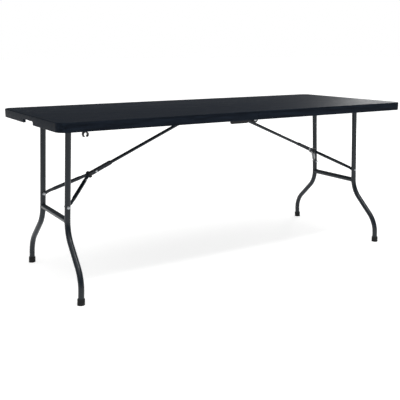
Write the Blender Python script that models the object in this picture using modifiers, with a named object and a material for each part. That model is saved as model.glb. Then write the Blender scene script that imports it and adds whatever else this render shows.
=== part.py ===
"""A fold-in-half table: two moulded half tops on steel rails, with folding leg frames and locking braces.

Units are metres, +Z is up and the origin is on the floor under the table's centre. +X runs along the table,
and -Y is its front. Every piece is its own closed solid. Pieces that turn hang from an empty on their axis.
"""

import math

import bmesh
import bpy
from mathutils import Matrix, Vector

# Overall size
TABLE_LENGTH = 1.82
TABLE_WIDTH = 0.74
TABLE_HEIGHT = 0.74

# Half tops
RIM_DEPTH = 0.038
RIM_WALL = 0.012
DECK_THICKNESS = 0.011
CORNER_RADIUS = 0.042
EDGE_RADIUS = 0.004
SEAM_GAP = 0.001
SEAM_LIP_DEPTH = 0.018
SEAM_LIP_WIDTH = 0.008
HAND_NOTCH_WIDTH = 0.13
HAND_NOTCH_DEPTH = 0.016
HAND_NOTCH_RADIUS = 0.008

# Side rails, U channels that open downwards
RAIL_WIDTH = 0.017
RAIL_HEIGHT = 0.022
RAIL_WALL = 0.0015
RAIL_SEAM_INSET = 0.022
RAIL_CORNER_CLEARANCE = 0.005

# Centre hinge
HINGE_DROP = 0.0005
KNUCKLE_RADIUS = 0.0145
LEAF_THICKNESS = 0.0025
LEAF_LENGTH = 0.130
LEAF_NECK_LENGTH = 0.034
LEAF_NECK_HEIGHT = 0.018
LEAF_SKIRT_DROP = 0.015
PIN_RADIUS = 0.004
PIN_HEAD_RADIUS = 0.0075
PIN_HEAD_THICKNESS = 0.002

# Leg frames
PIVOT_INSET = 0.117
PIVOT_CLEARANCE = 0.0015
SPLAY = math.radians(3.3)
LEG_TUBE_RADIUS = 0.0125
LEG_TUBE_WALL = 0.0015
LEG_END_ROOM = 0.0008
LEG_END_FLAT = 0.0002
LEG_TOP_SPREAD = 0.1558
LEG_FOOT_SPREAD = 0.3166
LEG_BEND_TOP = 0.259
LEG_BEND_FOOT = 0.107
LEG_BEND_RADIUS = 0.13
CROSSBAR_HEIGHT = 0.310
RIVET_HEIGHT = 0.368
FOOT_CAP_HEIGHT = 0.026
FOOT_CAP_WALL = 0.003
FOOT_CAP_BASE = 0.006
PIVOT_ROD_RADIUS = 0.007

# Bearings of the pivot rods, and the catches under the left ones
BEARING_WIDTH = 0.024
BEARING_LENGTH = 0.012
BEARING_WALL = 0.0035
CATCH_WALL = 0.0036
CATCH_MOUTH = 0.0115
BEARING_RAIL_GAP = 0.002

# Braces
ANCHOR_OFFSET = 0.064
ANCHOR_RADIUS = 0.0075
BRACE_SLACK = 0.001
BRACE_RADIUS = 0.0075
BRACE_WALL = 0.0012
BRACE_END_GAP = 0.020
SLEEVE_WALL = 0.0037
SLEEVE_LENGTH = 0.040
CHANNEL_WALL = 0.0012
CHANNEL_ABOVE_JOINT = 0.080
CHANNEL_TAIL = 0.042
ARM_RADIUS = 0.0085
ARM_FLAT_THICKNESS = 0.0025
ARM_FLAT_HEIGHT = 0.015
ARM_FLAT_END = 0.008
ARM_INNER_FLAT = 0.046
ARM_OUTER_FLAT = 0.024
ARM_BEND_RADIUS = 0.020
ARM_PRESSED_PAST_BEND = 0.018
ARM_SQUASH_RUN = 0.018
ARM_FLAT_SQUARENESS = 0.35
RIVET_RADIUS = 0.003
RIVET_HEAD_RADIUS = 0.007
RIVET_HEAD_THICKNESS = 0.0025
JOINT_HEAD_RADIUS = 0.0055
JOINT_HEAD_THICKNESS = 0.0012
RING_START = 0.024
RING_LENGTH = 0.016
RING_WALL = 0.0012
RING_ROOM = 0.0045
RING_TAB_LENGTH = 0.004

# Clearances
GAP = 0.0003
PIN_FIT = 0.0003
OPEN_PIVOT_GAP = 0.0006
CUT_MARGIN = 0.01

# Facets, smoothing and the tolerances of the mesh work
SMOOTH_ANGLE = math.radians(35)
MERGE_DISTANCE = 1e-6
PARALLEL_SHARE = 0.999
EMPTY_SIZE = 0.03
ROUND_SIDES = 16
SMALL_SIDES = 12
SMALL_RADIUS = 0.0065
BEND_STEPS = 5
CORNER_STEPS = 6

# Heights and places that follow from the sizes above
DECK_UNDERSIDE = TABLE_HEIGHT - DECK_THICKNESS
RIM_BOTTOM = TABLE_HEIGHT - RIM_DEPTH
HINGE_Z = RIM_BOTTOM - HINGE_DROP
LEG_END_RADIUS = LEG_TUBE_RADIUS + LEG_END_ROOM
RAIL_Y = TABLE_WIDTH / 2 - RIM_WALL - GAP - RAIL_WIDTH / 2
RAIL_INNER_Y = RAIL_Y - RAIL_WIDTH / 2
RAIL_TOP = DECK_UNDERSIDE - GAP
PIVOT_X = TABLE_LENGTH / 2 - PIVOT_INSET
PIVOT_Z = DECK_UNDERSIDE - LEG_TUBE_RADIUS - PIVOT_CLEARANCE
BEARING_Y = RAIL_INNER_Y - BEARING_RAIL_GAP - BEARING_LENGTH / 2
CHANNEL_HALF_WIDTH = BRACE_RADIUS + GAP + CHANNEL_WALL
ARM_INNER_Y = CHANNEL_HALF_WIDTH + GAP + ARM_FLAT_THICKNESS / 2
ARM_OUTER_Y = LEG_TOP_SPREAD - LEG_TUBE_RADIUS - OPEN_PIVOT_GAP - ARM_FLAT_THICKNESS / 2


def down_leg(height):
    """Distance along a splayed leg from its pivot to a height above the floor."""
    return (PIVOT_Z - height) / math.cos(SPLAY)


def brace_links():
    """Lengths of the brace and the wishbone, and where their joint lies at rest.

    The leg folds a quarter turn, and the brace then lies level under the deck. The two links together are
    BRACE_SLACK longer than the straight distance between their outer pivots at rest.

    Returns:
        The brace length, the wishbone length, the brace's angle below level and the wishbone's.
    """
    anchor = Vector((ANCHOR_OFFSET, PIVOT_Z))
    pivot = Vector((PIVOT_X, PIVOT_Z))
    reach = down_leg(RIVET_HEIGHT)
    rivet = pivot + reach * Vector((math.sin(SPLAY), -math.cos(SPLAY)))
    folded_rivet = pivot - reach * Vector((math.cos(SPLAY), math.sin(SPLAY)))
    span = (rivet - anchor).length
    total = span + BRACE_SLACK
    folded = folded_rivet - anchor
    brace = (total**2 - folded.length_squared) / (2 * (total - folded.x))
    wishbone = total - brace
    straight = math.atan2(anchor.y - rivet.y, rivet.x - anchor.x)
    rise = math.acos((brace**2 + span**2 - wishbone**2) / (2 * brace * span))
    brace_angle = straight - rise
    joint = anchor + brace * Vector((math.cos(brace_angle), -math.sin(brace_angle)))
    wishbone_angle = math.atan2(joint.y - rivet.y, rivet.x - joint.x)
    return brace, wishbone, brace_angle, wishbone_angle


BRACE_LENGTH, WISHBONE_LENGTH, BRACE_ANGLE, WISHBONE_ANGLE = brace_links()


# ---------------------------------------------------------------- scene and materials


def clear_scene():
    """Remove every object that the file starts with."""
    for found in list(bpy.data.objects):
        bpy.data.objects.remove(found, do_unlink=True)


def new_collection(name):
    """A new collection under the scene's own."""
    collection = bpy.data.collections.new(name)
    bpy.context.scene.collection.children.link(collection)
    return collection


def finish(name, colour, roughness, metallic):
    """A Principled material."""
    material = bpy.data.materials.new(name)
    material.use_nodes = True
    shader = material.node_tree.nodes["Principled BSDF"]
    shader.inputs["Base Color"].default_value = (*colour, 1.0)
    shader.inputs["Roughness"].default_value = roughness
    shader.inputs["Metallic"].default_value = metallic
    return material


clear_scene()
TABLE = new_collection("folding_table")
CUTTERS = new_collection("cutters")

PLASTIC_TOP = finish("black_plastic_top", (0.028, 0.031, 0.037), 0.48, 0.0)
COATED_STEEL = finish("black_coated_steel", (0.022, 0.022, 0.024), 0.35, 0.0)
DARK_PLASTIC = finish("dark_plastic", (0.012, 0.012, 0.013), 0.55, 0.0)
RUBBER = finish("black_rubber", (0.010, 0.010, 0.011), 0.80, 0.0)
BRIGHT_STEEL = finish("zinc_plated_steel", (0.62, 0.62, 0.60), 0.35, 1.0)


# ---------------------------------------------------------------- building blocks


def place(name, mesh, material, parent=None, location=(0, 0, 0), rotation=(0, 0, 0)):
    """Put a mesh in the table's collection as a named object."""
    piece = bpy.data.objects.new(name, mesh)
    TABLE.objects.link(piece)
    piece.data.materials.append(material)
    piece.parent = parent
    piece.location = location
    piece.rotation_euler = rotation
    return piece


def axis_empty(name, location, rotation=(0, 0, 0), parent=None):
    """An empty that carries the pieces turning about one axis."""
    empty = bpy.data.objects.new(name, None)
    TABLE.objects.link(empty)
    empty.empty_display_size = EMPTY_SIZE
    empty.parent = parent
    empty.location = location
    empty.rotation_euler = rotation
    return empty


def mesh_from(bm, name):
    """Turn a bmesh into a mesh, smooth where its faces meet at a shallow angle."""
    mesh = bpy.data.meshes.new(name)
    bm.normal_update()
    bm.to_mesh(mesh)
    bm.free()
    mesh.shade_smooth()
    mesh.set_sharp_from_angle(angle=SMOOTH_ANGLE)
    return mesh


def box_mesh(name, low, high, corner_radius=0.0, corner_axis=2):
    """A box between two corners, with the edges along one axis rounded."""
    bm = bmesh.new()
    bmesh.ops.create_cube(bm, size=1.0)
    low, high = Vector(low), Vector(high)
    bmesh.ops.scale(bm, vec=high - low, verts=bm.verts)
    bmesh.ops.translate(bm, vec=(high + low) / 2, verts=bm.verts)
    if corner_radius:
        along = [e for e in bm.edges if is_along(e, corner_axis)]
        bevel(bm, along, corner_radius, CORNER_STEPS)
    return mesh_from(bm, name)


def is_along(edge, axis):
    """Whether an edge runs along the axis."""
    run = edge.verts[1].co - edge.verts[0].co
    return abs(run[axis]) > PARALLEL_SHARE * run.length


def bevel(bm, edges, radius, steps):
    """Round a set of edges."""
    bmesh.ops.bevel(
        bm, geom=edges, offset=radius, offset_type="OFFSET", segments=steps, profile=0.5, affect="EDGES"
    )


def cylinder_mesh(name, radius, length, axis="Y", centre=(0, 0, 0)):
    """A cylinder about a line through its centre, with fewer facets where it is small."""
    sides = SMALL_SIDES if radius < SMALL_RADIUS else ROUND_SIDES
    bm = bmesh.new()
    bmesh.ops.create_cone(bm, cap_ends=True, segments=sides, radius1=radius, radius2=radius, depth=length)
    turns = {
        "X": Matrix.Rotation(math.pi / 2, 4, "Y"),
        "Y": Matrix.Rotation(math.pi / 2, 4, "X"),
        "Z": Matrix.Identity(4),
    }
    bm.transform(Matrix.Translation(Vector(centre)) @ turns[axis])
    return mesh_from(bm, name)


def rounded_path(corners, radius):
    """The points of a path that runs straight between corners and rounds each inner one with an arc."""
    path = [Vector(corners[0])]
    for before, corner, after in zip(corners, corners[1:], corners[2:]):
        corner = Vector(corner)
        come = (corner - Vector(before)).normalized()
        go = (Vector(after) - corner).normalized()
        turn = come.angle(go)
        setback = radius * math.tan(turn / 2)
        centre = corner + (go - come).normalized() * radius / math.cos(turn / 2)
        start = corner - come * setback - centre
        spin = come.cross(go).normalized()
        for step in range(BEND_STEPS + 1):
            arc = Matrix.Rotation(turn * step / BEND_STEPS, 3, spin)
            path.append(centre + arc @ start)
    path.append(Vector(corners[-1]))
    return path


def tube_mesh(name, points, radius):
    """An open round tube along a list of points, as a mesh made from a bevelled curve."""
    curve = bpy.data.curves.new(name, "CURVE")
    curve.dimensions = "3D"
    curve.bevel_depth = radius
    curve.bevel_resolution = ROUND_SIDES // 4 - 1
    spline = curve.splines.new("POLY")
    spline.points.add(len(points) - 1)
    for point, centre in zip(spline.points, points):
        point.co = (*centre, 1.0)
    guide = bpy.data.objects.new(name, curve)
    CUTTERS.objects.link(guide)
    graph = bpy.context.evaluated_depsgraph_get()
    mesh = bpy.data.meshes.new_from_object(guide.evaluated_get(graph))
    bpy.data.objects.remove(guide, do_unlink=True)
    bm = bmesh.new()
    bm.from_mesh(mesh)
    bmesh.ops.remove_doubles(bm, verts=bm.verts, dist=MERGE_DISTANCE)
    bmesh.ops.recalc_face_normals(bm, faces=bm.faces)
    return mesh_from(bm, name)


def hollow(piece, wall):
    """Give an open tube its wall, measured inwards."""
    shell = piece.modifiers.new("wall", "SOLIDIFY")
    shell.thickness = wall
    shell.offset = -1
    shell.use_even_offset = True


def boolean(piece, mesh, operation, suffix):
    """Combine a piece with a mesh that is given in the piece's own coordinates."""
    cutter = bpy.data.objects.new(f"{piece.name}_{suffix}", mesh)
    CUTTERS.objects.link(cutter)
    cutter.parent = piece.parent
    cutter.location = piece.location
    cutter.rotation_euler = piece.rotation_euler
    cutter.hide_render = True
    cutter.display_type = "WIRE"
    modifier = piece.modifiers.new(suffix, "BOOLEAN")
    modifier.operation = operation
    modifier.solver = "EXACT"
    modifier.object = cutter


def cut(piece, mesh, suffix):
    """Cut a mesh out of a piece."""
    boolean(piece, mesh, "DIFFERENCE", suffix)


def join(piece, mesh, suffix):
    """Join a mesh on to a piece."""
    boolean(piece, mesh, "UNION", suffix)


# ---------------------------------------------------------------- half tops and rails


def half_top(side, parent):
    """A moulded half top: a deck with a rim that turns down on three sides and a lip along the seam."""
    name = f"tabletop_{side}"
    seam = SEAM_GAP / 2
    end = TABLE_LENGTH / 2
    edge = TABLE_WIDTH / 2
    bm = bmesh.new()
    bmesh.ops.create_cube(bm, size=1.0)
    bmesh.ops.scale(bm, vec=(end - seam, 2 * edge, RIM_DEPTH), verts=bm.verts)
    middle = Vector(((end + seam) / 2, 0, TABLE_HEIGHT - RIM_DEPTH / 2))
    bmesh.ops.translate(bm, vec=middle, verts=bm.verts)
    outer_corners = [e for e in bm.edges if is_along(e, 2) and e.verts[0].co.x > middle.x]
    bevel(bm, outer_corners, CORNER_RADIUS, CORNER_STEPS)
    top_edges = [e for e in bm.edges if all(v.co.z > middle.z for v in e.verts) and len(e.link_faces) == 2]
    rim_edges = [e for e in top_edges if max(v.co.x for v in e.verts) > seam + GAP]
    bevel(bm, rim_edges, EDGE_RADIUS, 2)
    top = place(name, mesh_from(bm, name), PLASTIC_TOP, parent)

    inner = edge - RIM_WALL
    recess = recess_mesh(f"{name}_recess", seam + SEAM_LIP_WIDTH, end - RIM_WALL, inner)
    cut(top, recess, "recess")
    under_lip = box_mesh(
        f"{name}_lip",
        (-CUT_MARGIN, -inner, RIM_BOTTOM - CUT_MARGIN),
        (seam + SEAM_LIP_WIDTH + CUT_MARGIN, inner, TABLE_HEIGHT - SEAM_LIP_DEPTH),
    )
    cut(top, under_lip, "under_lip")
    notch = box_mesh(
        f"{name}_notch",
        (end - RIM_WALL - CUT_MARGIN, -HAND_NOTCH_WIDTH / 2, RIM_BOTTOM - CUT_MARGIN),
        (end + CUT_MARGIN, HAND_NOTCH_WIDTH / 2, RIM_BOTTOM + HAND_NOTCH_DEPTH),
        HAND_NOTCH_RADIUS,
        0,
    )
    cut(top, notch, "hand_notch")


def recess_mesh(name, start, stop, half_width):
    """The hollow under a half top, with its two outer corners rounded."""
    bm = bmesh.new()
    bmesh.ops.create_cube(bm, size=1.0)
    depth = DECK_UNDERSIDE - RIM_BOTTOM + CUT_MARGIN
    bmesh.ops.scale(bm, vec=(stop - start, 2 * half_width, depth), verts=bm.verts)
    middle = Vector(((start + stop) / 2, 0, DECK_UNDERSIDE - depth / 2))
    bmesh.ops.translate(bm, vec=middle, verts=bm.verts)
    corners = [e for e in bm.edges if is_along(e, 2) and e.verts[0].co.x > middle.x]
    bevel(bm, corners, CORNER_RADIUS - RIM_WALL, CORNER_STEPS)
    return mesh_from(bm, name)


def side_rail(name, y, parent):
    """A U channel under the deck along one side of a half top."""
    start = RAIL_SEAM_INSET
    stop = TABLE_LENGTH / 2 - CORNER_RADIUS - RAIL_CORNER_CLEARANCE
    low = (start, y - RAIL_WIDTH / 2, RAIL_TOP - RAIL_HEIGHT)
    high = (stop, y + RAIL_WIDTH / 2, RAIL_TOP)
    rail = place(name, box_mesh(name, low, high), COATED_STEEL, parent)
    inner = RAIL_WIDTH / 2 - RAIL_WALL
    groove = box_mesh(
        f"{name}_groove",
        (start - CUT_MARGIN, y - inner, RAIL_TOP - RAIL_HEIGHT - CUT_MARGIN),
        (stop + CUT_MARGIN, y + inner, RAIL_TOP - RAIL_WALL),
    )
    cut(rail, groove, "groove")


# ---------------------------------------------------------------- centre hinge


def hinge_leaf(name, toward, y, skirt_z):
    """A hinge leaf: a plate on the rail and a neck out to a round knuckle on the hinge axis.

    Args:
        name: The node's name.
        toward: +1 for the leaf on the right half and -1 for the one on the left half.
        y: The middle of the plate's thickness.
        skirt_z: The height of the plate's lower edge.
    """
    half = LEAF_THICKNESS / 2
    leaf = place(
        name,
        cylinder_mesh(name, KNUCKLE_RADIUS, LEAF_THICKNESS),
        COATED_STEEL,
        location=(0, y, HINGE_Z),
    )
    plate_top = RAIL_TOP - RAIL_WALL - GAP - HINGE_Z
    near = min(toward * LEAF_NECK_LENGTH, toward * LEAF_LENGTH)
    far = max(toward * LEAF_NECK_LENGTH, toward * LEAF_LENGTH)
    plate = box_mesh(f"{name}_plate", (near, -half, skirt_z - HINGE_Z), (far, half, plate_top))
    join(leaf, plate, "plate")
    neck_end = toward * (LEAF_NECK_LENGTH + 2 * LEAF_THICKNESS)
    neck_base = min(max(skirt_z - HINGE_Z, -LEAF_NECK_HEIGHT / 2), 0)
    neck = box_mesh(
        f"{name}_neck",
        (min(0, neck_end), -half, neck_base),
        (max(0, neck_end), half, neck_base + LEAF_NECK_HEIGHT),
    )
    join(leaf, neck, "neck")
    cut(leaf, cylinder_mesh(f"{name}_bore", PIN_RADIUS + PIN_FIT, 4 * LEAF_THICKNESS), "bore")


def centre_hinge(label, sign):
    """One of the two hinges on the seam line, with its leaves, washer and pin."""
    left_y = RAIL_INNER_Y - GAP - LEAF_THICKNESS / 2
    right_y = RAIL_INNER_Y + RAIL_WALL + GAP + LEAF_THICKNESS / 2
    right_skirt = RAIL_TOP - RAIL_HEIGHT
    hinge_leaf(f"hinge_leaf_{label}_left", -1, sign * left_y, RIM_BOTTOM - LEAF_SKIRT_DROP)
    hinge_leaf(f"hinge_leaf_{label}_right", 1, sign * right_y, right_skirt)

    washer = place(
        f"hinge_washer_{label}",
        cylinder_mesh("washer", PIN_HEAD_RADIUS, RAIL_WALL),
        BRIGHT_STEEL,
        location=(0, sign * (left_y + right_y) / 2, HINGE_Z),
    )
    cut(washer, cylinder_mesh("washer_bore", PIN_RADIUS + PIN_FIT, 2 * LEAF_THICKNESS), "bore")

    inner_y = left_y - LEAF_THICKNESS / 2 - GAP
    outer_y = right_y + LEAF_THICKNESS / 2 + GAP
    grip = outer_y - inner_y
    pin = place(
        f"hinge_pin_{label}",
        cylinder_mesh("pin", PIN_RADIUS, grip + PIN_HEAD_THICKNESS),
        BRIGHT_STEEL,
        location=(0, sign * (inner_y + outer_y) / 2, HINGE_Z),
    )
    for end in (-1, 1):
        head = cylinder_mesh(
            f"pin_head_{end}",
            PIN_HEAD_RADIUS,
            PIN_HEAD_THICKNESS,
            centre=(0, end * (grip + PIN_HEAD_THICKNESS) / 2, 0),
        )
        join(pin, head, f"head_{end}")


# ---------------------------------------------------------------- bearings


def pivot_bearing(name, y, has_catch, parent):
    """A plastic block that holds one end of a pivot rod, with a catch below it on the left half.

    The catch's centre mirrors the rod about the hinge axis, so it snaps over the other half's rod.
    """
    half = BEARING_LENGTH / 2
    top = DECK_UNDERSIDE - GAP - PIVOT_Z
    base = -PIVOT_ROD_RADIUS - BEARING_WALL
    low = (-BEARING_WIDTH / 2, -half, base)
    high = (BEARING_WIDTH / 2, half, top)
    bearing = place(name, box_mesh(name, low, high), DARK_PLASTIC, parent, (PIVOT_X, y, PIVOT_Z))
    if has_catch:
        drop = 2 * (HINGE_Z - PIVOT_Z)
        outer = PIVOT_ROD_RADIUS + CATCH_WALL
        centre = (0, 0, drop)
        join(bearing, cylinder_mesh(f"{name}_ring", outer, BEARING_LENGTH, centre=centre), "catch_ring")
        stem_low = (-PIVOT_ROD_RADIUS, -half, drop + PIVOT_ROD_RADIUS)
        stem_high = (PIVOT_ROD_RADIUS, half, base + BEARING_WALL / 2)
        join(bearing, box_mesh(f"{name}_stem", stem_low, stem_high), "catch_stem")
        length = 2 * BEARING_LENGTH
        cut(bearing, cylinder_mesh(f"{name}_grip", PIVOT_ROD_RADIUS + GAP, length, centre=centre), "grip")
        mouth_low = (-CATCH_MOUTH / 2, -BEARING_LENGTH, drop - 2 * outer)
        mouth_high = (CATCH_MOUTH / 2, BEARING_LENGTH, drop)
        cut(bearing, box_mesh(f"{name}_mouth", mouth_low, mouth_high), "mouth")
    cut(bearing, cylinder_mesh(f"{name}_bore", PIVOT_ROD_RADIUS + PIN_FIT, 2 * BEARING_LENGTH), "bore")


# ---------------------------------------------------------------- leg frames

# Pieces of a leg frame are modelled with the pivot at the origin and the legs straight down -Z. The frame's
# empty stands on the pivot axis and leans them outwards by SPLAY.


def leg_tube(name, sign, frame):
    """A leg: straight down from the pivot rod, then bent outwards to a wider foot.

    Its top end is rounded about the rod, so that it clears the deck as it folds.
    """
    top_y = sign * LEG_TOP_SPREAD
    foot_y = sign * LEG_FOOT_SPREAD
    corners = [
        (0, top_y, 2 * LEG_END_RADIUS),
        (0, top_y, -down_leg(LEG_BEND_TOP)),
        (0, foot_y, -down_leg(LEG_BEND_FOOT)),
        (0, foot_y, -down_leg(FOOT_CAP_BASE + GAP) + LEG_TUBE_RADIUS * math.tan(SPLAY)),
    ]
    mesh = tube_mesh(name, rounded_path(corners, LEG_BEND_RADIUS), LEG_TUBE_RADIUS)
    leg = place(name, mesh, COATED_STEEL, frame)
    hollow(leg, LEG_TUBE_WALL)
    end = box_mesh(
        f"{name}_end",
        (-LEG_END_RADIUS, -TABLE_WIDTH, -2 * TABLE_HEIGHT),
        (LEG_END_RADIUS, TABLE_WIDTH, LEG_END_RADIUS),
        LEG_END_RADIUS - LEG_END_FLAT / 2,
        1,
    )
    boolean(leg, end, "INTERSECT", "rounded_end")
    across = 3 * LEG_TUBE_RADIUS
    rod_hole = cylinder_mesh(f"{name}_rod_hole", PIVOT_ROD_RADIUS + PIN_FIT, across, centre=(0, top_y, 0))
    cut(leg, rod_hole, "rod_hole")
    rivet_centre = (0, top_y, -down_leg(RIVET_HEIGHT))
    rivet_hole = cylinder_mesh(f"{name}_rivet_hole", RIVET_RADIUS + PIN_FIT, across, centre=rivet_centre)
    cut(leg, rivet_hole, "rivet_hole")


def foot_cap(name, sign, frame):
    """A rubber cap on the foot, cut level with the floor."""
    foot_y = sign * LEG_FOOT_SPREAD
    floor = -down_leg(0)
    outer = LEG_TUBE_RADIUS + GAP + FOOT_CAP_WALL
    length = FOOT_CAP_HEIGHT + CUT_MARGIN
    centre = (0, foot_y, floor + FOOT_CAP_HEIGHT - length / 2)
    cap = place(name, cylinder_mesh(name, outer, length, "Z", centre), RUBBER, frame)
    bore_base = -down_leg(FOOT_CAP_BASE) + LEG_TUBE_RADIUS * math.tan(SPLAY)
    bore_top = floor + FOOT_CAP_HEIGHT + CUT_MARGIN
    bore_centre = (0, foot_y, (bore_base + bore_top) / 2)
    bore = cylinder_mesh(f"{name}_bore", LEG_TUBE_RADIUS + GAP, bore_top - bore_base, "Z", bore_centre)
    cut(cap, bore, "bore")
    below = box_mesh(f"{name}_floor", (-4 * outer, -4 * outer, -4 * CUT_MARGIN), (4 * outer, 4 * outer, 0))
    below.transform(Matrix.Translation((0, foot_y, floor)) @ Matrix.Rotation(SPLAY, 4, "Y"))
    cut(cap, below, "floor")


def crossbar(name, frame):
    """A bar between the two legs, its ends coped to their round sides."""
    z = -down_leg(CROSSBAR_HEIGHT)
    ends = [Vector((0, -LEG_TOP_SPREAD, z)), Vector((0, LEG_TOP_SPREAD, z))]
    bar = place(name, tube_mesh(name, ends, LEG_TUBE_RADIUS), COATED_STEEL, frame)
    hollow(bar, LEG_TUBE_WALL)
    for sign in (-1, 1):
        centre = (0, sign * LEG_TOP_SPREAD, z)
        cope = cylinder_mesh(f"{name}_cope_{sign}", LEG_TUBE_RADIUS + GAP, 6 * LEG_TUBE_RADIUS, "Z", centre)
        cut(bar, cope, f"cope_{sign}")


def riveted(name, start_y, head_y, location, parent):
    """A rivet along Y, with its head at one end.

    Args:
        name: The node's name.
        start_y: Where the shank starts, measured from the location.
        head_y: The middle of the head, where the shank ends.
        location: The rivet's place under its parent.
        parent: The empty that carries it.
    """
    shank = cylinder_mesh(name, RIVET_RADIUS, abs(head_y - start_y), centre=(0, (start_y + head_y) / 2, 0))
    rivet = place(name, shank, BRIGHT_STEEL, parent, location)
    head = cylinder_mesh(f"{name}_head", RIVET_HEAD_RADIUS, RIVET_HEAD_THICKNESS, centre=(0, head_y, 0))
    join(rivet, head, "head")


def leg_rivet(name, sign, frame):
    """The rivet through a leg. Its shank ends at the leg's inner side, where the linkage is open."""
    head_y = LEG_TUBE_RADIUS + GAP + RIVET_HEAD_THICKNESS / 2
    location = (0, sign * LEG_TOP_SPREAD, -down_leg(RIVET_HEIGHT))
    riveted(name, -sign * (LEG_TUBE_RADIUS - GAP), sign * head_y, location, frame)


def leg_frame(side, parent, labels):
    """The pieces that fold with one pair of legs."""
    frame = axis_empty(f"{side}_leg_axis", (PIVOT_X, 0, PIVOT_Z), (0, -SPLAY, 0), parent)
    rod_length = 2 * (BEARING_Y + BEARING_LENGTH / 2)
    rod = cylinder_mesh(f"pivot_rod_{side}", PIVOT_ROD_RADIUS, rod_length)
    place(f"pivot_rod_{side}", rod, COATED_STEEL, frame)
    crossbar(f"crossbar_{side}", frame)
    for label, sign in labels:
        leg_tube(f"leg_{label}_{side}", sign, frame)
        foot_cap(f"foot_cap_{label}_{side}", sign, frame)
        leg_rivet(f"leg_rivet_{label}_{side}", sign, frame)


# ---------------------------------------------------------------- braces

# Pieces of a brace are modelled with its anchor at the origin and +X down the brace. Those of a wishbone
# have the joint at the origin and +X towards the legs.


def brace_tube(side, axis):
    """The thin tube, coped to the sleeve at its top and pushed into the channel at its foot."""
    name = f"brace_tube_{side}"
    sleeve_radius = ANCHOR_RADIUS + PIN_FIT + SLEEVE_WALL
    ends = [Vector((0, 0, 0)), Vector((BRACE_LENGTH - BRACE_END_GAP, 0, 0))]
    tube = place(name, tube_mesh(name, ends, BRACE_RADIUS), COATED_STEEL, axis)
    hollow(tube, BRACE_WALL)
    cut(tube, cylinder_mesh(f"{name}_cope", sleeve_radius + GAP, SLEEVE_LENGTH), "cope")
    start = cylinder_mesh(f"{name}_start", 2 * BRACE_RADIUS, sleeve_radius, "X", (-sleeve_radius / 2, 0, 0))
    cut(tube, start, "start")

    sleeve = cylinder_mesh(f"brace_sleeve_{side}", sleeve_radius, SLEEVE_LENGTH)
    sleeve_piece = place(f"brace_sleeve_{side}", sleeve, COATED_STEEL, axis)
    bore = cylinder_mesh(f"sleeve_bore_{side}", ANCHOR_RADIUS + PIN_FIT, 2 * SLEEVE_LENGTH)
    cut(sleeve_piece, bore, "bore")


def brace_channel(side, axis):
    """The U channel on the tube's foot. Its tail runs on past the joint, inside the arms and the ring."""
    name = f"brace_channel_{side}"
    half = CHANNEL_HALF_WIDTH
    start = BRACE_LENGTH - CHANNEL_ABOVE_JOINT
    stop = BRACE_LENGTH + CHANNEL_TAIL
    body = box_mesh(name, (start, -half, -BRACE_RADIUS), (stop, half, half))
    channel = place(name, body, COATED_STEEL, axis)
    inner = BRACE_RADIUS + GAP
    groove = box_mesh(
        f"{name}_groove",
        (start - CUT_MARGIN, -inner, -BRACE_RADIUS - CUT_MARGIN),
        (stop + CUT_MARGIN, inner, inner),
    )
    cut(channel, groove, "groove")
    hole = cylinder_mesh(f"{name}_hole", RIVET_RADIUS + PIN_FIT, 4 * half, centre=(BRACE_LENGTH, 0, 0))
    cut(channel, hole, "rivet_hole")


def lock_ring(side, axis):
    """The flat ring that slides over the joint and holds it straight, with a thumb tab on top."""
    name = f"lock_ring_{side}"
    inner_y = ARM_INNER_Y + ARM_FLAT_THICKNESS / 2 + JOINT_HEAD_THICKNESS + 2 * GAP
    inner_z = ARM_FLAT_HEIGHT / 2 + RING_ROOM
    outer_y = inner_y + RING_WALL
    outer_z = inner_z + RING_WALL
    start = BRACE_LENGTH + RING_START
    stop = start + RING_LENGTH
    band = box_mesh(name, (start, -outer_y, -outer_z), (stop, outer_y, outer_z), 3 * RING_WALL, 0)
    ring = place(name, band, COATED_STEEL, axis)
    inside = box_mesh(
        f"{name}_inside",
        (start - CUT_MARGIN, -inner_y, -inner_z),
        (stop + CUT_MARGIN, inner_y, inner_z),
        2 * RING_WALL,
        0,
    )
    cut(ring, inside, "inside")
    tab = box_mesh(
        f"{name}_tab",
        (stop - RING_WALL, -inner_y / 2, outer_z - RING_WALL),
        (stop + RING_TAB_LENGTH, inner_y / 2, outer_z - GAP),
    )
    join(ring, tab, "tab")


def pressed_share(distance, pressed):
    """How flat an arm is at a distance from its end, from 1 where it is pressed to 0 where it is round."""
    return min(max((pressed + ARM_SQUASH_RUN - distance) / ARM_SQUASH_RUN, 0), 1)


def pressed_section(share):
    """The outline of an arm's section, from a circle at share 0 to a thin rounded plate at share 1."""
    half_width = ARM_RADIUS + share * (ARM_FLAT_THICKNESS / 2 - ARM_RADIUS)
    half_height = ARM_RADIUS + share * (ARM_FLAT_HEIGHT / 2 - ARM_RADIUS)
    power = 1 + share * (ARM_FLAT_SQUARENESS - 1)
    outline = []
    for side in range(ROUND_SIDES):
        turn = 2 * math.pi * (side + 0.5) / ROUND_SIDES
        across = math.copysign(abs(math.cos(turn)) ** power, math.cos(turn))
        up = math.copysign(abs(math.sin(turn)) ** power, math.sin(turn))
        outline.append((half_width * across, half_height * up))
    return outline


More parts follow.
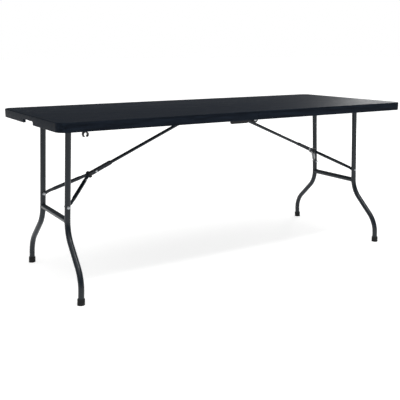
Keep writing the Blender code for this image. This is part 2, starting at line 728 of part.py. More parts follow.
def loft_mesh(name, path, sections):
    """A solid skinned over one outline at each point of a path, upright along Z."""
    bm = bmesh.new()
    rings = []
    last = len(path) - 1
    for index, (point, outline) in enumerate(zip(path, sections)):
        tangent = (path[min(index + 1, last)] - path[max(index - 1, 0)]).normalized()
        across = Vector((0, 0, 1)).cross(tangent).normalized()
        up = tangent.cross(across)
        rings.append([bm.verts.new(point + a * across + h * up) for a, h in outline])
    for ring, following in zip(rings, rings[1:]):
        for side in range(ROUND_SIDES):
            after = (side + 1) % ROUND_SIDES
            bm.faces.new((ring[side], ring[after], following[after], following[side]))
    bm.faces.new(list(reversed(rings[0])))
    bm.faces.new(rings[-1])
    bmesh.ops.recalc_face_normals(bm, faces=bm.faces)
    return mesh_from(bm, name)


def wishbone_arm(name, sign, axis):
    """One arm of the wishbone, from the joint out to the leg, pressed flat at both ends.

    Its inner flat lies along the channel, so it is bent by the difference between the two links' angles.
    """
    bend = WISHBONE_ANGLE - BRACE_ANGLE
    along = Vector((math.cos(bend), 0, math.sin(bend)))
    inner = Vector((0, sign * ARM_INNER_Y, 0))
    outer = Vector((WISHBONE_LENGTH, sign * ARM_OUTER_Y, 0))
    forward = Vector((1, 0, 0))
    corners = [
        inner - ARM_FLAT_END * along,
        inner + ARM_INNER_FLAT * along,
        outer - ARM_OUTER_FLAT * forward,
        outer + ARM_FLAT_END * forward,
    ]
    bends = rounded_path(corners, ARM_BEND_RADIUS)
    half_way = len(bends) // 2
    path = bends[:half_way]
    steps = 2 * BEND_STEPS
    path += [bends[half_way - 1].lerp(bends[half_way], step / steps) for step in range(1, steps)]
    path += bends[half_way:]
    travelled = [0.0]
    for before, after in zip(path, path[1:]):
        travelled.append(travelled[-1] + (after - before).length)
    inner_pressed = ARM_FLAT_END + ARM_INNER_FLAT + ARM_PRESSED_PAST_BEND
    outer_pressed = ARM_FLAT_END + ARM_OUTER_FLAT + ARM_PRESSED_PAST_BEND
    shares = [
        max(pressed_share(run, inner_pressed), pressed_share(travelled[-1] - run, outer_pressed))
        for run in travelled
    ]
    mesh = loft_mesh(name, path, [pressed_section(share) for share in shares])
    arm = place(name, mesh, COATED_STEEL, axis)
    for label, centre in (("joint_hole", inner), ("leg_hole", outer)):
        hole = cylinder_mesh(f"{name}_{label}", RIVET_RADIUS + PIN_FIT, 4 * ARM_RADIUS, centre=centre)
        cut(arm, hole, label)


def wishbone(side, axis, labels):
    """Both arms, the rivets that would join them to the legs, and the joint rivet through the channel."""
    head_start = ARM_INNER_Y + ARM_FLAT_THICKNESS / 2 + GAP
    rivet = place(
        f"joint_rivet_{side}",
        cylinder_mesh(f"joint_rivet_{side}", RIVET_RADIUS, 2 * head_start + JOINT_HEAD_THICKNESS),
        BRIGHT_STEEL,
        axis,
    )
    for label, sign in labels:
        centre = (0, sign * (head_start + JOINT_HEAD_THICKNESS / 2), 0)
        head_name = f"joint_head_{label}_{side}"
        head = cylinder_mesh(head_name, JOINT_HEAD_RADIUS, JOINT_HEAD_THICKNESS, centre=centre)
        join(rivet, head, f"head_{label}")
        wishbone_arm(f"wishbone_arm_{label}_{side}", sign, axis)
        face = ARM_FLAT_THICKNESS / 2
        head_y = -sign * (face + GAP + RIVET_HEAD_THICKNESS / 2)
        location = (WISHBONE_LENGTH, sign * ARM_OUTER_Y, 0)
        riveted(f"arm_rivet_{label}_{side}", sign * face, head_y, location, axis)


def brace(side, parent, labels):
    """A folding brace: anchor tube, sleeve, tube, channel and ring, and the wishbone at its foot."""
    leaf_room = LEAF_THICKNESS + GAP if side == "left" else 0.0
    anchor_length = 2 * (RAIL_INNER_Y - leaf_room - GAP)
    anchor = cylinder_mesh(f"anchor_tube_{side}", ANCHOR_RADIUS, anchor_length)
    place(f"anchor_tube_{side}", anchor, COATED_STEEL, parent, (ANCHOR_OFFSET, 0, PIVOT_Z))
    axis = axis_empty(f"{side}_brace_axis", (ANCHOR_OFFSET, 0, PIVOT_Z), (0, BRACE_ANGLE, 0), parent)
    brace_tube(side, axis)
    brace_channel(side, axis)
    lock_ring(side, axis)
    bend = WISHBONE_ANGLE - BRACE_ANGLE
    joint = axis_empty(f"{side}_wishbone_axis", (BRACE_LENGTH, 0, 0), (0, bend, 0), axis)
    wishbone(side, joint, labels)


# ---------------------------------------------------------------- the table


def half(side, turn):
    """Everything on one half of the table, built for the right side and turned about Z for the left."""
    centre = axis_empty(f"{side}_half", (0, 0, 0), (0, 0, turn))
    is_left = side == "left"
    labels = [("rear", -1), ("front", 1)] if is_left else [("front", -1), ("rear", 1)]
    half_top(side, centre)
    for label, sign in labels:
        side_rail(f"rail_{label}_{side}", sign * RAIL_Y, centre)
        pivot_bearing(f"pivot_bearing_{label}_{side}", sign * BEARING_Y, is_left, centre)
    leg_frame(side, centre, labels)
    brace(side, centre, labels)


half("right", 0.0)
half("left", math.pi)
for end_name, end_sign in (("front", -1), ("rear", 1)):
    centre_hinge(end_name, end_sign)
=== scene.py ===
"""Finished looks of a fold-in-half table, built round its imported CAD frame.

Units are metres, +Z is up, +X runs along the table and -Y is its front. The two halves are alike, so a piece
is built on the right half and turned half a turn about Z for the left one. The centre hinges and the anchor
tubes are built where they are.
"""

import logging
import math
from collections.abc import Callable, Iterable
from dataclasses import dataclass, field
from enum import Enum

import bmesh
import bpy
from bmesh.types import BMesh, BMEdge, BMFace, BMVert
from mathutils import Matrix, Vector


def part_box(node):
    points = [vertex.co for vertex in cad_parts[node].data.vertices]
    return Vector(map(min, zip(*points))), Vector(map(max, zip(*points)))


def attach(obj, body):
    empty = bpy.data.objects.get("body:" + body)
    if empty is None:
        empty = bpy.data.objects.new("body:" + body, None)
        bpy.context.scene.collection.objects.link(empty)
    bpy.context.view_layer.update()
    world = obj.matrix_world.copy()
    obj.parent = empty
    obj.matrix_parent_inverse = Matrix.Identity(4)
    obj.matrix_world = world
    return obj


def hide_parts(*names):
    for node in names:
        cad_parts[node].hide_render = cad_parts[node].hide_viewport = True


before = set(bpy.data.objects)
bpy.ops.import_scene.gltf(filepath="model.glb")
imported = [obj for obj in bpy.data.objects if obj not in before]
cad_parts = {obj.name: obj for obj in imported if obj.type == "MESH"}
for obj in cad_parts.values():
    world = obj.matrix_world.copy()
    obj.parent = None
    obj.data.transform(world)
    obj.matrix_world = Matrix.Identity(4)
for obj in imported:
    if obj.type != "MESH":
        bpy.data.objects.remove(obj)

LOG = logging.getLogger("folding_table")
WHITE = (1.0, 1.0, 1.0, 1.0)
MM = 0.001

# How round a section is: tubes and domes, small hardware, and the steps of a bend.
TUBE_SIDES = 32
HARDWARE_SIDES = 24
BEND_STEPS = 12
BEAD_SIDES = 10
WELD_STEPS = 40

# Steps across a rounded edge, from a wide corner down to a fine one.
CORNER_STEPS = 14
NOSE_STEPS = 8
BAND_STEPS = 6
EDGE_STEPS = 5
FOLD_STEPS = 4
FINE_STEPS = 3

# Where a sharp edge starts, and which edges are softened.
SHARP_ANGLE = math.radians(38)
SOFTENED_ANGLE = math.radians(50)

# Tolerances: points this close are one, an edge or face this aligned counts as along an axis or level.
SAME_POINT = 0.01 * MM
SAME_POINT_IN_JOIN = 0.005 * MM
ALIGNED = 0.999
LEVEL = 0.99


class Side(Enum):
    """Which half of the table a piece belongs to."""

    RIGHT = "right"
    LEFT = "left"

    @property
    def turn(self) -> Matrix:
        """The half turn about Z that carries a right-hand piece to this side."""
        return Matrix.Rotation(0.0 if self is Side.RIGHT else math.pi, 4, "Z")

    def label(self, sign: int) -> str:
        """The name of the edge on the side of Y given by a sign on the right half.

        Args:
            sign: -1 or +1, the side of Y before the half turn.

        Returns:
            "front" or "rear".
        """
        is_front = (sign < 0) == (self is Side.RIGHT)
        return "front" if is_front else "rear"


class Operation(Enum):
    """How one solid is combined with another."""

    CUT = "DIFFERENCE"
    JOIN = "UNION"
    KEEP_COMMON = "INTERSECT"


# ---------------------------------------------------------------- nodes and finishes


def linear(hex_colour: str) -> tuple[float, float, float, float]:
    """Turn an sRGB hex colour into linear values.

    Args:
        hex_colour: Six hex digits after a hash.

    Returns:
        Red, green and blue in linear light, and an alpha of one.
    """
    shares = [int(hex_colour[start : start + 2], 16) / 255 for start in (1, 3, 5)]
    bent = [s / 12.92 if s <= 0.04045 else ((s + 0.055) / 1.055) ** 2.4 for s in shares]
    return (bent[0], bent[1], bent[2], 1.0)


def add_node(
    tree: bpy.types.NodeTree, kind: str, inputs: dict[str | int, object] | None = None, **settings: object
) -> bpy.types.Node:
    """Add a node with its settings and what goes into its sockets.

    Args:
        tree: The node tree.
        kind: The node's type.
        inputs: A value, or another node's output to link, for each socket by name or number.
        **settings: The node's own properties.

    Returns:
        The new node.
    """
    node = tree.nodes.new(kind)
    for name, value in settings.items():
        setattr(node, name, value)
    for socket, value in (inputs or {}).items():
        if isinstance(value, bpy.types.NodeSocket):
            tree.links.new(value, node.inputs[socket])
        else:
            node.inputs[socket].default_value = value
    return node


@dataclass(frozen=True)
class Finish:
    """A material: what it is, its slot in the record, its colours and how it takes light."""

    name: str
    slot: str
    colour: str
    accent: str
    roughness: float
    roughness_swing: float
    specular: float = 0.5
    metallic: float = 0.0

    def build(self) -> bpy.types.Material:
        """Make the material, or return the one already made.

        Returns:
            The material.
        """
        made = bpy.data.materials.get(self.name)
        if made:
            return made
        material = bpy.data.materials.new(self.name)
        material.use_nodes = True
        tree = material.node_tree
        shader = tree.nodes["Principled BSDF"]
        shader.inputs["Metallic"].default_value = self.metallic
        if self.metallic < 1:
            shader.inputs["Specular IOR Level"].default_value = self.specular
        self.dress(tree, shader)
        return material

    def dress(self, tree: bpy.types.NodeTree, shader: bpy.types.Node) -> None:
        """Add the pattern.

        Args:
            tree: The material's node tree.
            shader: Its Principled shader.
        """
        raise NotImplementedError

    def shade(
        self,
        tree: bpy.types.NodeTree,
        shader: bpy.types.Node,
        tint: bpy.types.NodeSocket,
        gloss: bpy.types.NodeSocket,
    ) -> None:
        """Link the colour and the roughness to two patterns that run from 0 to 1.

        Args:
            tree: The material's node tree.
            shader: Its Principled shader.
            tint: The share of the accent colour.
            gloss: Where the surface is rougher.
        """
        # A Mix node has a set of sockets for each kind of data, so its factor and colours are set by number.
        colour = add_node(
            tree, "ShaderNodeMix", {0: tint, 6: linear(self.colour), 7: linear(self.accent)}, data_type="RGBA"
        )
        tree.links.new(colour.outputs[2], shader.inputs["Base Color"])
        rough = add_node(
            tree,
            "ShaderNodeMapRange",
            {
                "Value": gloss,
                "To Min": self.roughness - self.roughness_swing,
                "To Max": self.roughness + self.roughness_swing,
            },
        )
        tree.links.new(rough.outputs[0], shader.inputs["Roughness"])


@dataclass(frozen=True)
class EmbossedPolyethylene(Finish):
    """Blow-moulded HDPE with a wood grain embossed along X, waxy and softly reflecting at a low angle."""

    grain_length: float = 260 * MM
    grain_width: float = 9 * MM
    fine_length: float = 70 * MM
    fine_width: float = 2.6 * MM
    fine_share: float = 0.35
    wave_length: float = 90 * MM
    wave_height: float = 7 * MM
    emboss_depth: float = 0.35 * MM

    def dress(self, tree: bpy.types.NodeTree, shader: bpy.types.Node) -> None:
        """Add the grain: long streaks that wander sideways, under finer ones.

        The real streaks are about 1 mm wide. They are drawn 9 mm wide so that they show.

        Args:
            tree: The material's node tree.
            shader: Its Principled shader.
        """
        place = add_node(tree, "ShaderNodeTexCoord").outputs["Object"]
        wander = add_node(
            tree, "ShaderNodeTexNoise", {"Vector": place, "Scale": 1 / self.wave_length, "Detail": 2.0}
        )
        centred = add_node(
            tree,
            "ShaderNodeVectorMath",
            {0: wander.outputs["Color"], 1: (0.5, 0.5, 0.5)},
            operation="SUBTRACT",
        )
        shift = add_node(
            tree,
            "ShaderNodeVectorMath",
            {0: centred.outputs[0], 1: (0.0, 2 * self.wave_height, 2 * self.wave_height)},
            operation="MULTIPLY",
        )
        bent = add_node(
            tree, "ShaderNodeVectorMath", {0: place, 1: shift.outputs[0]}, operation="ADD"
        ).outputs[0]
        layers = []
        for length, width, detail in (
            (self.grain_length, self.grain_width, 3.0),
            (self.fine_length, self.fine_width, 1.0),
        ):
            stretched = add_node(
                tree,
                "ShaderNodeMapping",
                {"Vector": bent, "Scale": (1 / length, 1 / width, 1 / width)},
            )
            layers.append(
                add_node(
                    tree,
                    "ShaderNodeTexNoise",
                    {"Vector": stretched.outputs[0], "Scale": 1.0, "Detail": detail, "Roughness": 0.6},
                ).outputs["Fac"]
            )
        both = add_node(
            tree, "ShaderNodeMath", {0: layers[1], 1: self.fine_share, 2: layers[0]}, operation="MULTIPLY_ADD"
        ).outputs[0]
        grain = add_node(
            tree, "ShaderNodeMapRange", {"Value": both, "From Min": 0.45, "From Max": 0.92}
        ).outputs[0]
        self.shade(tree, shader, grain, grain)
        bump = add_node(
            tree, "ShaderNodeBump", {"Height": grain, "Strength": 0.55, "Distance": self.emboss_depth}
        )
        tree.links.new(bump.outputs[0], shader.inputs["Normal"])


@dataclass(frozen=True)
class Coating(Finish):
    """A thin even coat or a moulded skin: orange peel of one size, with a faint cloud of colour over it."""

    peel_size: float = 1.2 * MM
    peel_depth: float = 0.05 * MM
    cloud_size: float = 60 * MM

    def dress(self, tree: bpy.types.NodeTree, shader: bpy.types.Node) -> None:
        """Add the peel and the cloud.

        Args:
            tree: The material's node tree.
            shader: Its Principled shader.
        """
        place = add_node(tree, "ShaderNodeTexCoord").outputs["Object"]
        cloud = add_node(
            tree, "ShaderNodeTexNoise", {"Vector": place, "Scale": 1 / self.cloud_size, "Detail": 4.0}
        ).outputs["Fac"]
        peel = add_node(
            tree, "ShaderNodeTexNoise", {"Vector": place, "Scale": 1 / self.peel_size, "Detail": 1.0}
        ).outputs["Fac"]
        self.shade(tree, shader, cloud, peel)
        bump = add_node(
            tree, "ShaderNodeBump", {"Height": peel, "Strength": 0.4, "Distance": self.peel_depth}
        )
        tree.links.new(bump.outputs[0], shader.inputs["Normal"])


@dataclass(frozen=True)
class PlatedSteel(Finish):
    """Bright plated steel: fine spangle in the colour, and turned lines that spread the highlight."""

    spangle_size: float = 1.6 * MM
    line_pitch: float = 0.35 * MM

    def dress(self, tree: bpy.types.NodeTree, shader: bpy.types.Node) -> None:
        """Add the spangle and the lines.

        Args:
            tree: The material's node tree.
            shader: Its Principled shader.
        """
        place = add_node(tree, "ShaderNodeTexCoord").outputs["Object"]
        spangle = add_node(
            tree, "ShaderNodeTexVoronoi", {"Vector": place, "Scale": 1 / self.spangle_size}
        ).outputs["Distance"]
        lines = add_node(
            tree, "ShaderNodeTexNoise", {"Vector": place, "Scale": 1 / self.line_pitch, "Detail": 2.0}
        ).outputs["Fac"]
        self.shade(tree, shader, spangle, lines)
        bump = add_node(tree, "ShaderNodeBump", {"Height": lines, "Strength": 0.15, "Distance": 0.02 * MM})
        tree.links.new(bump.outputs[0], shader.inputs["Normal"])


# Near-black blow-moulded polyethylene: a waxy skin, cool grey where it catches light along the grain.
POLYETHYLENE = EmbossedPolyethylene(
    "embossed_HDPE", "tabletop", "#0B0F15", "#1B222C", 0.50, 0.10, specular=0.03
)
# Powder-coated steel tube: an even black with a soft sheen and a slight orange peel.
POWDER_COAT = Coating("powder_coated_steel", "coated_steel", "#10171D", "#18212A", 0.28, 0.04, specular=0.35)
# Pressed steel brackets with a thinner, duller dip coat.
DIP_COAT = Coating(
    "dip_coated_steel_bracket",
    "coated_bracket",
    "#0C0F12",
    "#12161A",
    0.40,
    0.05,
    specular=0.3,
    peel_size=0.8 * MM,
)
# Soft PVC foot caps: blacker than the steel and matt, slightly dusty.
VINYL = Coating(
    "soft_PVC",
    "foot_cap",
    "#0C0D0E",
    "#141617",
    0.62,
    0.06,
    specular=0.3,
    peel_size=0.6 * MM,
    cloud_size=12 * MM,
)
# Injection-moulded nylon bearings: black with a gloss from the mould.
NYLON = Coating(
    "moulded_nylon",
    "bearing",
    "#0E0F10",
    "#131415",
    0.34,
    0.04,
    specular=0.35,
    peel_size=2.0 * MM,
    peel_depth=0.02 * MM,
)
# Zinc-plated rivets, pins and washers: pale grey metal.
ZINC = PlatedSteel("zinc_plated_steel", "bright_hardware", "#B4B7BA", "#8F9295", 0.30, 0.07, metallic=1.0)


# ---------------------------------------------------------------- bmesh helpers


def box(low: Vector | tuple, high: Vector | tuple) -> BMesh:
    """A box between two corners.

    Args:
        low: The lowest corner.
        high: The highest corner.

    Returns:
        The box.
    """
    bm = bmesh.new()
    low, high = Vector(low), Vector(high)
    bmesh.ops.create_cube(bm, size=1.0)
    bmesh.ops.scale(bm, vec=high - low, verts=bm.verts)
    bmesh.ops.translate(bm, vec=(high + low) / 2, verts=bm.verts)
    return bm


def edges_along(bm: BMesh, axis: int, wanted: Callable[[Vector], bool] = lambda middle: True) -> list[BMEdge]:
    """Edges that run along an axis and whose middle is wanted.

    Args:
        bm: The mesh.
        axis: 0, 1 or 2.
        wanted: A test of the edge's middle.

    Returns:
        The edges.
    """
    found = []
    for edge in bm.edges:
        run = edge.verts[1].co - edge.verts[0].co
        if abs(run[axis]) > ALIGNED * run.length and wanted((edge.verts[0].co + edge.verts[1].co) / 2):
            found.append(edge)
    return found


def bevel(bm: BMesh, edges: Iterable[BMEdge], radius: float, segments: int) -> None:
    """Round a set of edges.

    Args:
        bm: The mesh.
        edges: The edges.
        radius: The bevel's width.
        segments: Its number of steps.
    """
    bmesh.ops.bevel(
        bm,
        geom=list(edges),
        offset=radius,
        offset_type="OFFSET",
        segments=segments,
        profile=0.5,
        affect="EDGES",
        clamp_overlap=True,
        material=-1,
    )


def lathe(profile: list[tuple[float, float]], sides: int = HARDWARE_SIDES) -> BMesh:
    """A solid turned about Z from an outline of radius and height.

    Args:
        profile: Radius and height of each corner, from the axis at the bottom to the axis at the top.
        sides: The number of steps round.

    Returns:
        The solid.
    """
    bm = bmesh.new()
    corners = [bm.verts.new((radius, 0, height)) for radius, height in profile]
    edges = [bm.edges.new(pair) for pair in zip(corners, corners[1:])]
    bmesh.ops.spin(
        bm,
        geom=corners + edges,
        cent=(0, 0, 0),
        axis=(0, 0, 1),
        angle=2 * math.pi,
        steps=sides,
        use_merge=True,
    )
    bmesh.ops.remove_doubles(bm, verts=bm.verts, dist=SAME_POINT)
    bmesh.ops.recalc_face_normals(bm, faces=bm.faces)
    return bm


def prism(outline: list[Vector], run: Vector) -> BMesh:
    """A solid drawn out from a flat outline.

    Args:
        outline: The outline's corners.
        run: How far and which way it is drawn.

    Returns:
        The solid.
    """
    bm = bmesh.new()
    bm.faces.new([bm.verts.new(corner) for corner in outline])
    drawn = bmesh.ops.extrude_face_region(bm, geom=bm.faces[:], use_keep_orig=True)
    far_end = [item for item in drawn["geom"] if isinstance(item, BMVert)]
    bmesh.ops.translate(bm, vec=run, verts=far_end)
    bmesh.ops.recalc_face_normals(bm, faces=bm.faces)
    return bm


def rod_outline(half: float, radius: float, chamfer: float) -> list[tuple[float, float]]:
    """The lathe outline of a rod, centred, with chamfered ends."""
    return [
        (0.0, -half),
        (radius - chamfer, -half),
        (radius, chamfer - half),
        (radius, half - chamfer),
        (radius - chamfer, half),
        (0.0, half),
    ]


def sleeve_outline(half: float, radius: float, bore: float, chamfer: float) -> list[tuple[float, float]]:
    """The lathe outline of a sleeve or a washer: a rod's, with a bore in place of its axis."""
    outer = rod_outline(half, radius, chamfer)[1:-1]
    return [(bore, -half), *outer, (bore, half), (bore, -half)]


def pin_outline(
    half: float, radius: float, crown: float, head: float, shank: float
) -> list[tuple[float, float]]:
    """The lathe outline of a pin with a head at each end.

    Args:
        half: Half its length over the heads.
        radius: The heads' radius.
        crown: The share of that radius which is flat on top.
        head: The heads' thickness.
        shank: The shank's radius.

    Returns:
        Radius and height of each corner.
    """
    lower = [
        (0.0, -half),
        (radius * crown, -half),
        (radius, head * 0.5 - half),
        (radius, head - half),
        (shank, head - half),
    ]
    return lower + [(across, -height) for across, height in reversed(lower)]


def channel(low: Vector | tuple, high: Vector | tuple, wall: float) -> BMesh:
    """A U channel along X that opens downwards.

    Args:
        low: The lowest corner of its box.
        high: The highest corner.
        wall: The thickness of its walls.

    Returns:
        The channel, with square folds.
    """
    low, high = Vector(low), Vector(high)
    places = [
        (low.y, low.z),
        (low.y, high.z),
        (high.y, high.z),
        (high.y, low.z),
        (high.y - wall, low.z),
        (high.y - wall, high.z - wall),
        (low.y + wall, high.z - wall),
        (low.y + wall, low.z),
    ]
    return prism([Vector((low.x, y, z)) for y, z in places], Vector((high.x - low.x, 0, 0)))


def rounded_path(corners: list[Vector], radius: float, steps: int = BEND_STEPS) -> list[Vector]:
    """A path that runs straight between corners and rounds each inner one with an arc.

    Args:
        corners: The path's corners.
        radius: The radius of the arcs.
        steps: The steps in each arc.

    Returns:
        The points of the path.
    """
    path = [corners[0].copy()]
    for before, corner, after in zip(corners, corners[1:], corners[2:]):
        come = (corner - before).normalized()
        go = (after - corner).normalized()
        turn = come.angle(go)
        centre = corner + (go - come).normalized() * radius / math.cos(turn / 2)
        start = corner - come * radius * math.tan(turn / 2) - centre
        axis = come.cross(go).normalized()
        path += [centre + Matrix.Rotation(turn * step / steps, 3, axis) @ start for step in range(steps + 1)]
    path.append(corners[-1].copy())
    return path


Section = Callable[[float, float], tuple[float, float]]


def sweep(
    path: list[Vector],
    ups: list[Vector],
    sections: list[Section],
    closed: bool = False,
    sides: int = TUBE_SIDES,
) -> BMesh:
    """Carry a ring along a path, skinning as it goes.

    Args:
        path: The centres of the rings.
        ups: Which way is up at each of them.
        sections: What each ring makes of a unit circle's point, as a place across and up.
        closed: Whether the path comes back to its start. If not, both ends are capped.
        sides: The ring's number of sides.

    Returns:
        The solid.
    """
    bm = bmesh.new()
    bmesh.ops.create_circle(bm, cap_ends=False, radius=1.0, segments=sides)
    ring = list(bm.verts)
    circle = [(vert.co.x, vert.co.y) for vert in ring]
    edges = list(bm.edges)
    last = len(path) - 1
    rings = []
    for index, centre in enumerate(path):
        before = path[(index - 1) % len(path) if closed else max(index - 1, 0)]
        after = path[(index + 1) % len(path) if closed else min(index + 1, last)]
        tangent = (after - before).normalized()
        across = ups[index].cross(tangent).normalized()
        up = tangent.cross(across)
        if index:
            grown = bmesh.ops.extrude_edge_only(bm, edges=edges)["geom"]
            fresh = [item for item in grown if isinstance(item, BMVert)]
            edges = [item for item in grown if isinstance(item, BMEdge)]
            ring = matched(ring, fresh)
        for vert, (x, y) in zip(ring, circle):
            a, b = sections[index](x, y)
            vert.co = centre + a * across + b * up
        rings.append(ring)
    if closed:
        seam = [edge for edge in bm.edges if edge.is_boundary]
        bmesh.ops.bridge_loops(bm, edges=seam)
    else:
        for end in (rings[0], rings[-1]):
            bmesh.ops.contextual_create(bm, geom=ring_edges(end))
    bmesh.ops.recalc_face_normals(bm, faces=bm.faces)
    return bm


def matched(ring: list[BMVert], fresh: list[BMVert]) -> list[BMVert]:
    """The new vertex that grew from each vertex of a ring, in the ring's order.

    Args:
        ring: The ring's vertices.
        fresh: The vertices that an extrusion made.

    Returns:
        The new ring.
    """
    new = set(fresh)
    return [next(e.other_vert(vert) for e in vert.link_edges if e.other_vert(vert) in new) for vert in ring]


def ring_edges(ring: list[BMVert]) -> list[BMEdge]:
    """The open edges between the vertices of a ring."""
    members = set(ring)
    edges = {edge for vert in ring for edge in vert.link_edges}
    return [edge for edge in edges if edge.is_boundary and members.issuperset(edge.verts)]


def round_section(radius: float) -> Section:
    """A circle of the given radius."""
    return lambda x, y: (radius * x, radius * y)


def tube(start: Vector, stop: Vector, radius: float, sides: int = TUBE_SIDES) -> BMesh:
    """A straight round bar along Y or X.

    Args:
        start: The middle of one end.
        stop: The middle of the other.
        radius: Its radius.
        sides: Its number of sides.

    Returns:
        The bar.
    """
    up = Vector((0, 0, 1))
    return sweep([start, stop], [up, up], [round_section(radius)] * 2, sides=sides)


def bead(path: list[Vector], ups: list[Vector], radius: float) -> BMesh:
    """A closed bead of weld along a path."""
    return sweep(path, ups, [round_section(radius)] * len(path), closed=True, sides=BEAD_SIDES)


def as_object(bm: BMesh, name: str) -> bpy.types.Object:
    """Turn a bmesh into an object at the origin.

    Args:
        bm: The mesh, which is freed.
        name: The object's name.

    Returns:
        The object.
    """
    mesh = bpy.data.meshes.new(name)
    bm.normal_update()
    bm.to_mesh(mesh)
    bm.free()
    made = bpy.data.objects.new(name, mesh)
    bpy.context.scene.collection.objects.link(made)
    return made


def combine(body: BMesh, tool: BMesh, operation: Operation) -> BMesh:
    """Combine two solids.

    Args:
        body: The solid to change, which is freed.
        tool: The other solid, which is freed.
        operation: What is done with the two.

    Returns:
        The result.
    """
    base, other = as_object(body, "base"), as_object(tool, "tool")
    modifier = base.modifiers.new("combine", "BOOLEAN")
    modifier.operation = operation.value
    modifier.solver = "EXACT"
    modifier.object = other
    graph = bpy.context.evaluated_depsgraph_get()
    result = bmesh.new()
    result.from_mesh(base.evaluated_get(graph).to_mesh())
    for spent in (base, other):
        mesh = spent.data
        bpy.data.objects.remove(spent)
        bpy.data.meshes.remove(mesh)
    bmesh.ops.remove_doubles(result, verts=result.verts, dist=SAME_POINT_IN_JOIN)
    return result


def gather(parts: Iterable[BMesh]) -> BMesh:
    """Put several solids in one mesh.

    Args:
        parts: The solids, which are freed.

    Returns:
        The mesh that holds them all.
    """
    whole = bmesh.new()
    for part in parts:
        mesh = bpy.data.meshes.new("part")
        part.to_mesh(mesh)
        part.free()
        whole.from_mesh(mesh)
        bpy.data.meshes.remove(mesh)
    return whole


def moved(bm: BMesh, matrix: Matrix) -> BMesh:
    """The same mesh, moved."""
    bm.transform(matrix)
    return bm


def along_y(sign: float, centre: Vector) -> Matrix:
    """Stand a turned piece on a Y axis.

    Args:
        sign: +1 if its top faces +Y and -1 if it faces -Y.
        centre: Where its origin goes.

    Returns:
        The matrix.
    """
    return Matrix.Translation(centre) @ Matrix.Rotation(-sign * math.pi / 2, 4, "X")


def middle(node: str) -> Vector:
    """The middle of a CAD node's box."""
    low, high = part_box(node)
    return (low + high) / 2


@dataclass(frozen=True)
class Mark:
    """Where a finished piece belongs: its body, its slot and the CAD nodes that it stands for."""

    body: str
    slot: str
    nodes: tuple[str, ...] = ()


def finish_piece(bm: BMesh, name: str, finish: Finish, mark: Mark, soften: float = 0.0) -> None:
    """Make a mesh a finished piece: shaded, dressed and riding on its body.

    Args:
        bm: The mesh, in the frame's coordinates.
        name: The piece's name.
        finish: Its material.
        mark: Where it belongs.
        soften: The width of a small bevel on its sharp edges, or 0 for none.
    """
    piece = as_object(bm, name)
    piece.data.materials.append(finish.build())
    piece.data.shade_smooth()
    piece.data.set_sharp_from_angle(angle=SHARP_ANGLE)
    if soften:
        edge = piece.modifiers.new("softened_edges", "BEVEL")
        edge.width = soften
        edge.segments = 2
        edge.limit_method = "ANGLE"
        edge.angle_limit = SOFTENED_ANGLE
        edge.use_clamp_overlap = True
    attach(piece, mark.body)
    if mark.nodes:
        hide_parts(*mark.nodes)
    LOG.info("%s: %d faces on %s", name, len(piece.data.polygons), mark.body)


def finish_node(bm: BMesh, look: str, node: str, finish: Finish, body: str, soften: float = 0.0) -> None:
    """Finish a piece that stands for one CAD node and is named after it.

    Args:
        bm: The mesh, in the frame's coordinates.
        look: A word that says how the piece is made.
        node: The CAD node.
        finish: Its material.
        body: The body that it rides on.
        soften: The width of a small bevel on its sharp edges, or 0 for none.
    """
    finish_piece(bm, f"{look}_{node}", finish, Mark(body, finish.slot, (node,)), soften)


def finish_extra(bm: BMesh, name: str, finish: Finish, body: str) -> None:
    """Finish a piece that stands for no CAD node."""
    finish_piece(bm, name, finish, Mark(body, finish.slot))


# ---------------------------------------------------------------- the half tops


